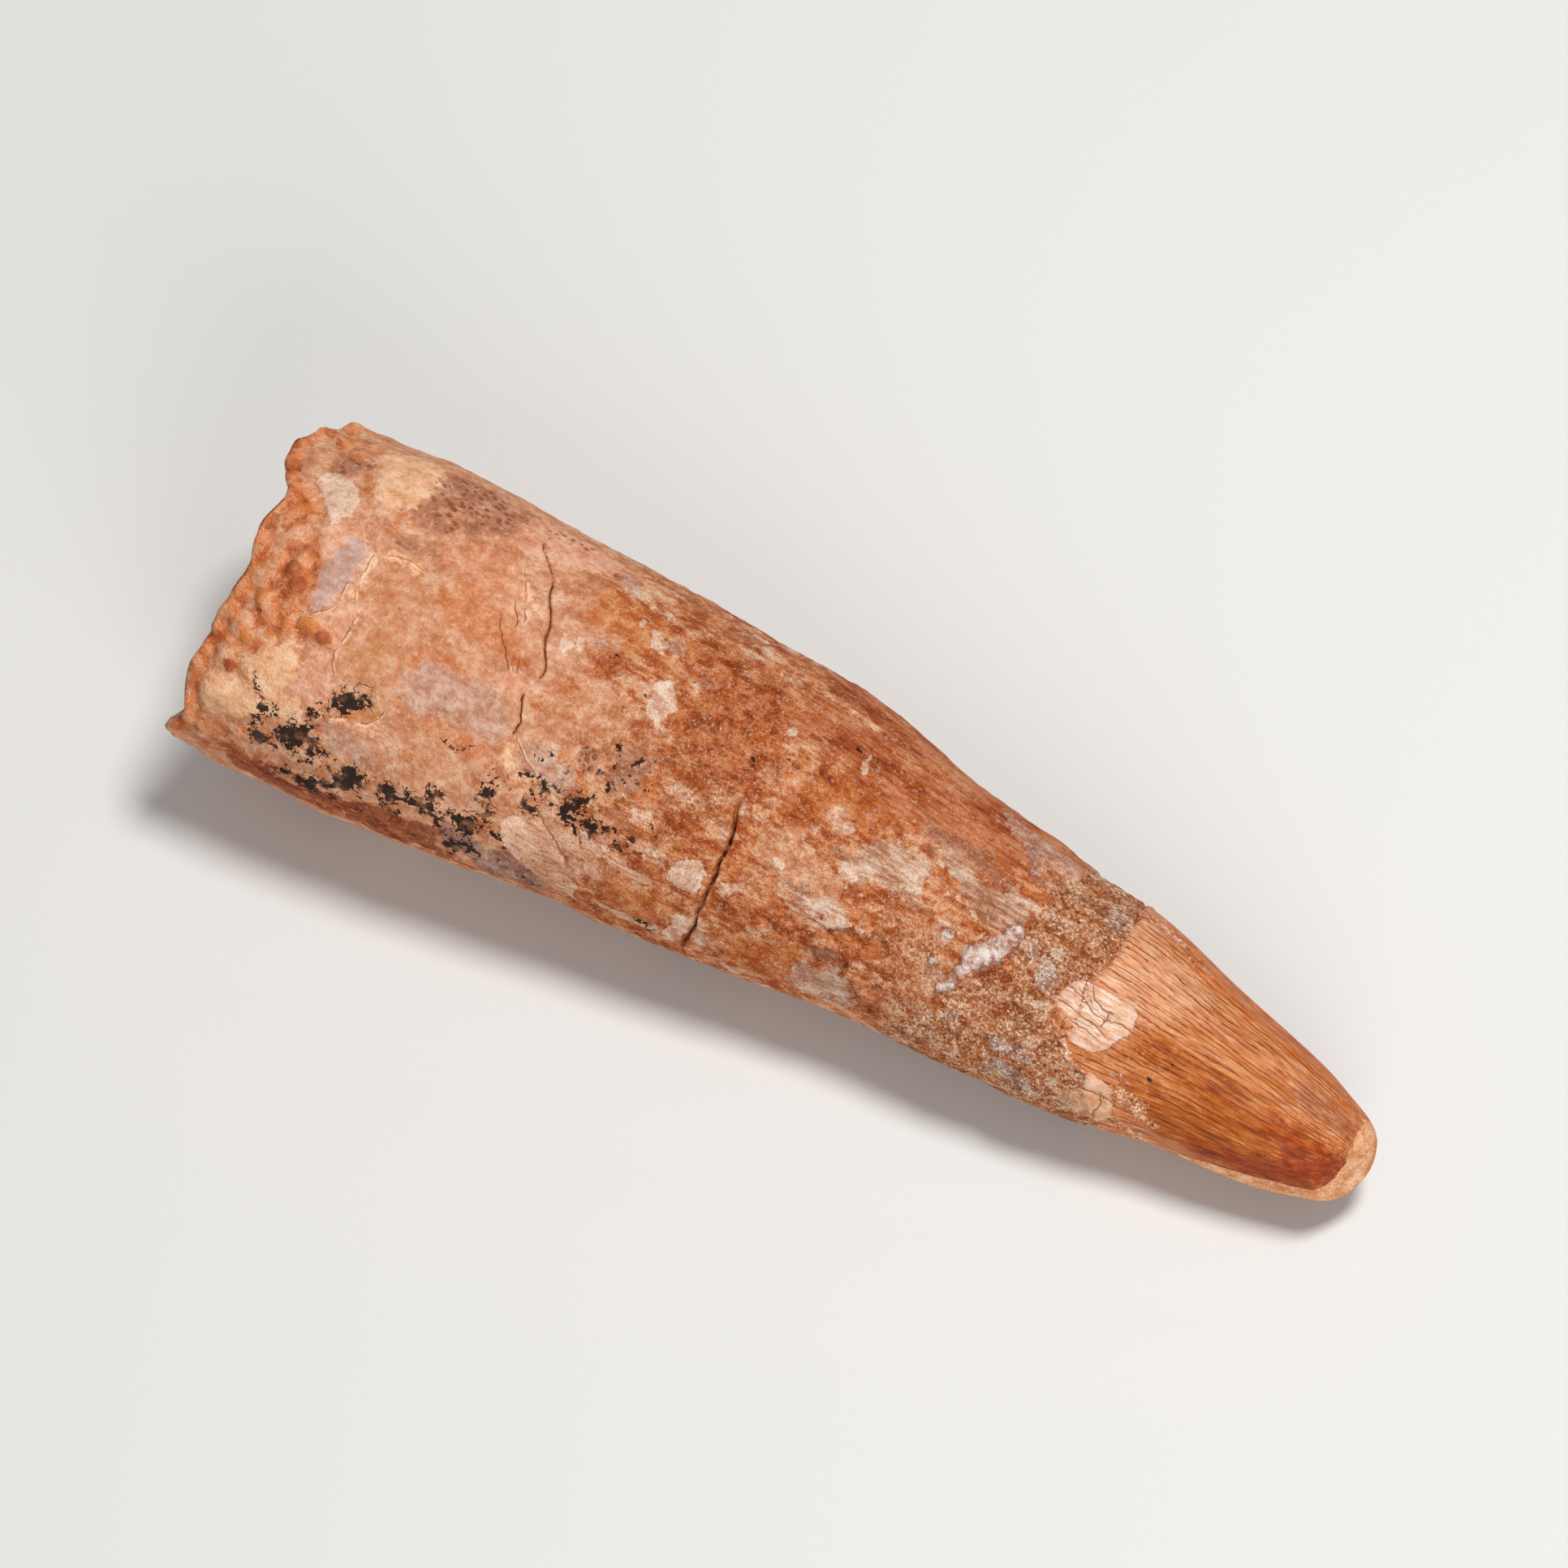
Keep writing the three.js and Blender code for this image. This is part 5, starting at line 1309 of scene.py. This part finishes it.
def crown_colour(nodes):
    """Enamel from pale to deep amber, with its lines, a missing flake and small specks."""
    small = nodes.small
    colour = nodes.painted(nodes.tones(nodes.enamel, "enamel"), CROWN_LAYERS)
    lines = nodes.larger(*(crown_lines(nodes, *row) for row in CROWN_LINES))
    colour = nodes.mix(lines * 0.92, colour, CROWN_LINE)
    worn = nodes.step(small, 0.57, 0.64) * nodes.step(nodes.station, 66, 57)
    colour = nodes.mix(worn * 0.35, colour, TONES["crown_pale"][2])
    colour = nodes.mix(nodes.inside("flake", small, 0.03, 0.5), colour, flake_colour(nodes, lines))
    rim = nodes.near(shaken(nodes.field("flake"), small, 0.5), 0.01, 0.07)
    colour = nodes.mix(rim * 0.45, colour, TONES["rust"][0])
    colour = nodes.mix(nodes.inside("crown_speck", small, 0.04, 0.12), colour, BLACK)
    tiny = nodes.step(nodes.spark, 0.992, 0.996) * nodes.step(nodes.patchy, 0.48, 0.54)
    return nodes.mix(tiny * 0.8, colour, BROWN)


def cracks_over(nodes, colour):
    """The stained edges of the cracks, the hairlines, the main crack and the thin one."""
    small, reach, thin_reach = nodes.small, nodes.field("main_reach"), nodes.field("thin_reach")
    main = shaken(nodes.field("main_crack"), small, 0.5)
    thin = shaken(nodes.field("thin_crack"), small, 0.34)
    stained = nodes.larger(nodes.near(main, 0.06, 0.34) * reach, nodes.near(thin, 0.04, 0.26) * thin_reach)
    gape = nodes.step(reach, 0.4, 0.95) * nodes.step(nodes.patchy, 0.38, 0.5)
    ajar = nodes.step(shaken(thin_reach, nodes.patchy, 2.4), 0.1, 0.6)
    open_crack = nodes.larger(nodes.near(main, 0.02, 0.12) * gape, nodes.near(thin, 0.015, 0.08) * ajar)
    hair = nodes.near(shaken(nodes.field("hairline"), small, 0.25), 0.015, 0.07)
    hair = hair * nodes.step(nodes.field("hairline_gap"), 0.4, 0.3)
    colour = nodes.mix(stained * 0.6, colour, CRACK_EDGE)
    colour = nodes.mix(hair * 0.85, colour, HAIRLINE_COLOUR)
    return nodes.mix(open_crack * 0.92, colour, CRACK_COLOUR)


def black_marks(nodes):
    """Lacy black masses with a fractal outline, and the specks around them."""
    black, ragged, patchy = nodes.field("black"), nodes.noise(0.5, 3, 0.62, 17), nodes.patchy
    mass = nodes.step(shaken(black, ragged, 2.2), -0.02, 0.05)
    thread = nodes.near(nodes.noise(0.9, 2, 0.6, 19) - 0.5, 0.012, 0.028)
    thread = thread * nodes.step(shaken(black, patchy, 2.0), -0.5, -0.25)
    cloud = nodes.step(ragged, 0.6, 0.63) * nodes.inside("specks", patchy, 0.5, 2.0)
    film = nodes.step(patchy, 0.34, 0.52) * 0.34 + 0.62
    return nodes.larger(nodes.larger(mass, thread), cloud) * film


def broken_end_over(nodes, colour, sand):
    """Pale dentine in the wall, and hard sand in the hollow."""
    broken = nodes.field("broken")
    wall = nodes.mix(nodes.step(nodes.mottle, 0.44, 0.56), nodes.tones(nodes.tone, "cream"),
                     nodes.tones(nodes.tone, "crust"))
    colour = nodes.mix(nodes.step(broken, 0.0, 0.05), colour, wall)
    return nodes.mix(nodes.step(broken, 0.26, 0.3), colour, sand)


def fossil_height(nodes):
    """Relief too fine for the mesh, in millimetres. The enamel has little of it."""
    sand = nodes.step(nodes.field("sand"), -0.1, 0.2)
    rough = nodes.larger(nodes.grainy, sand * 1.2)
    height = nodes.small * 0.13 + nodes.grit * (rough * 0.17 + 0.04)
    height = nodes.fibre * nodes.step(nodes.field("flank"), -0.6, 0.6) * 0.14 + height
    height = sand * nodes.grain_gap * -0.09 + height
    height = nodes.inside("chip", nodes.small, 0.03, 0.9) * -0.07 + height
    crown = nodes.step(nodes.field("enamel"), -0.05, 0.05) * nodes.step(nodes.field("wear"), 0.05, -0.05)
    return height * (crown * -0.86 + 1)


def fossil_colour(nodes):
    """The colour of every part, with painted glints, and how much of it is crust, enamel and painted glint.
    """
    small, grit = nodes.small, nodes.grit
    sand = sand_colour(nodes)
    root = nodes.painted(scale_colour(nodes, root_ground(nodes)), ROOT_LAYERS)
    root, crust = root_marks(nodes, root)
    root = nodes.mix(nodes.inside("sandy", nodes.edge, 0.9, 4.5) * 0.55, root, sand)
    is_crown = nodes.inside("enamel", small, 0.04, 0.4)
    is_sand = nodes.inside("sand", small, 0.12, 2.2)
    is_wear = nodes.inside("wear", small, 0.05, 0.7)
    colour = nodes.mix(is_crown, root, crown_colour(nodes))
    colour = porcelain_over(nodes, nodes.mix(is_sand, colour, sand))
    shard = nodes.inside("shard", small, 0.05, 1.0)
    colour = nodes.mix(shard * 0.92, colour, nodes.tones(nodes.tone, "shard"))
    bone_in_sand = nodes.inside("whitish", small, 0.05, 0.6) * is_sand
    colour = nodes.mix(bone_in_sand * 0.92, colour, TONES["whitish"][1])
    colour = nodes.mix(is_wear, colour, nodes.tones(shaken(nodes.tone, grit, 0.5), "wear"))
    colour = broken_end_over(nodes, colour, sand)
    shine = nodes.larger(is_crown - nodes.larger(is_wear, is_sand), 0.0)
    rough = (is_sand * 0.5 + (nodes.grainy * 1.05 + 0.45)) * (shine * -0.6 + 1)
    colour = nodes.grained(colour, grit, rough)
    # Painted glints: tiny near-white specks in the colour that stand in for highlights on grains; they also
    # lower the roughness.
    glint = nodes.step(nodes.spark, 0.995, 0.998) * (nodes.grainy * 0.8 + 0.2)
    colour = nodes.mix(glint * 0.55, colour, PAINTED_GLINT_COLOUR)
    colour = nodes.mix(black_marks(nodes), colour, BLACK)
    return cracks_over(nodes, colour), crust, shine, glint


def fossil_material():
    material = bpy.data.materials.new("fossil")
    nodes = fossil_nodes(material)
    colour, crust, shine, glint = fossil_colour(nodes)
    normal = nodes.make("Bump", {"Height": fossil_height(nodes), "Distance": MM, "Strength": 1.0})
    roughness = glint * -0.3 + (crust * -0.24 + (shine * -0.2 + (nodes.small * 0.3 + 0.47)))
    specular = nodes.larger(shine * 0.6, crust) * 0.16 + 0.04
    nodes.surface(Base_Color=colour, Roughness=roughness, Specular_IOR_Level=specular, Normal=normal)
    return material


# ------------------------------------------------------------------ floor, light and camera

FLOOR_HALF, FLOOR_COLOUR, FLOOR_ROUGHNESS = 1.2, (0.72, 0.71, 0.69), 0.7
# Round lights that look at the tooth: name, place in metres, width and power.
LIGHTS = [("key", (0.06, 0.11, 0.45), 0.13, 1.75), ("fill", (0.27, -0.3, 0.2), 0.3, 0.9)]
WORLD_STRENGTH = 0.22
CAMERA_AZIMUTH, CAMERA_ELEVATION = math.radians(30.5), math.radians(64)
CAMERA_DISTANCE, CAMERA_LENS, CAMERA_SENSOR = 400.0, 148.6, 36
CAMERA_NEAREST = 0.01       # metres
CAMERA_TARGET = (32.7, 5.4, 5.0)


def link_object(name, data):
    made = bpy.data.objects.new(name, data)
    bpy.context.scene.collection.objects.link(made)
    return made


def make_floor():
    mesh = bpy.data.meshes.new("floor")
    corners = [(x * FLOOR_HALF, y * FLOOR_HALF, 0) for x, y in ((-1, -1), (1, -1), (1, 1), (-1, 1))]
    mesh.from_pydata(corners, [], [(0, 1, 2, 3)])
    material = bpy.data.materials.new("pale_floor")
    Nodes(material).surface(Base_Color=FLOOR_COLOUR, Roughness=FLOOR_ROUGHNESS)
    mesh.materials.append(material)
    floor = link_object("floor", mesh)


def make_light(name, place, size, power):
    data = bpy.data.lights.new(name, "AREA")
    data.shape = "DISK"
    data.size = size
    data.energy = power
    light = link_object(name, data)
    light.location = place
    light.rotation_euler = Vector(place).to_track_quat("Z", "Y").to_euler()


def make_world():
    world = bpy.data.worlds.new("studio")
    world.use_nodes = True
    background = world.node_tree.nodes["Background"]
    background.inputs["Color"].default_value = (1, 1, 1, 1)
    background.inputs["Strength"].default_value = WORLD_STRENGTH
    bpy.context.scene.world = world


def make_camera():
    level = math.cos(CAMERA_ELEVATION)
    away = Vector((math.sin(CAMERA_AZIMUTH) * level, -math.cos(CAMERA_AZIMUTH) * level,
                   math.sin(CAMERA_ELEVATION)))
    target = Vector(CAMERA_TARGET) - Vector((*FOOTPRINT_MIDDLE, 0))
    data = bpy.data.cameras.new("camera")
    data.lens = CAMERA_LENS
    data.sensor_width = CAMERA_SENSOR
    data.clip_start = CAMERA_NEAREST
    camera = link_object("camera", data)
    camera.location = (target + away * CAMERA_DISTANCE) * MM
    camera.rotation_euler = away.to_track_quat("Z", "Y").to_euler()
    bpy.context.scene.camera = camera


# ------------------------------------------------------------------ the scene

tooth = build_tooth()
tooth.data.materials.append(fossil_material())
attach(tooth, "root")
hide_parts(TOOTH_NODE)

make_floor()
for light in LIGHTS:
    make_light(*light)
make_world()
make_camera()
bpy.context.scene.view_settings.view_transform = "Standard"
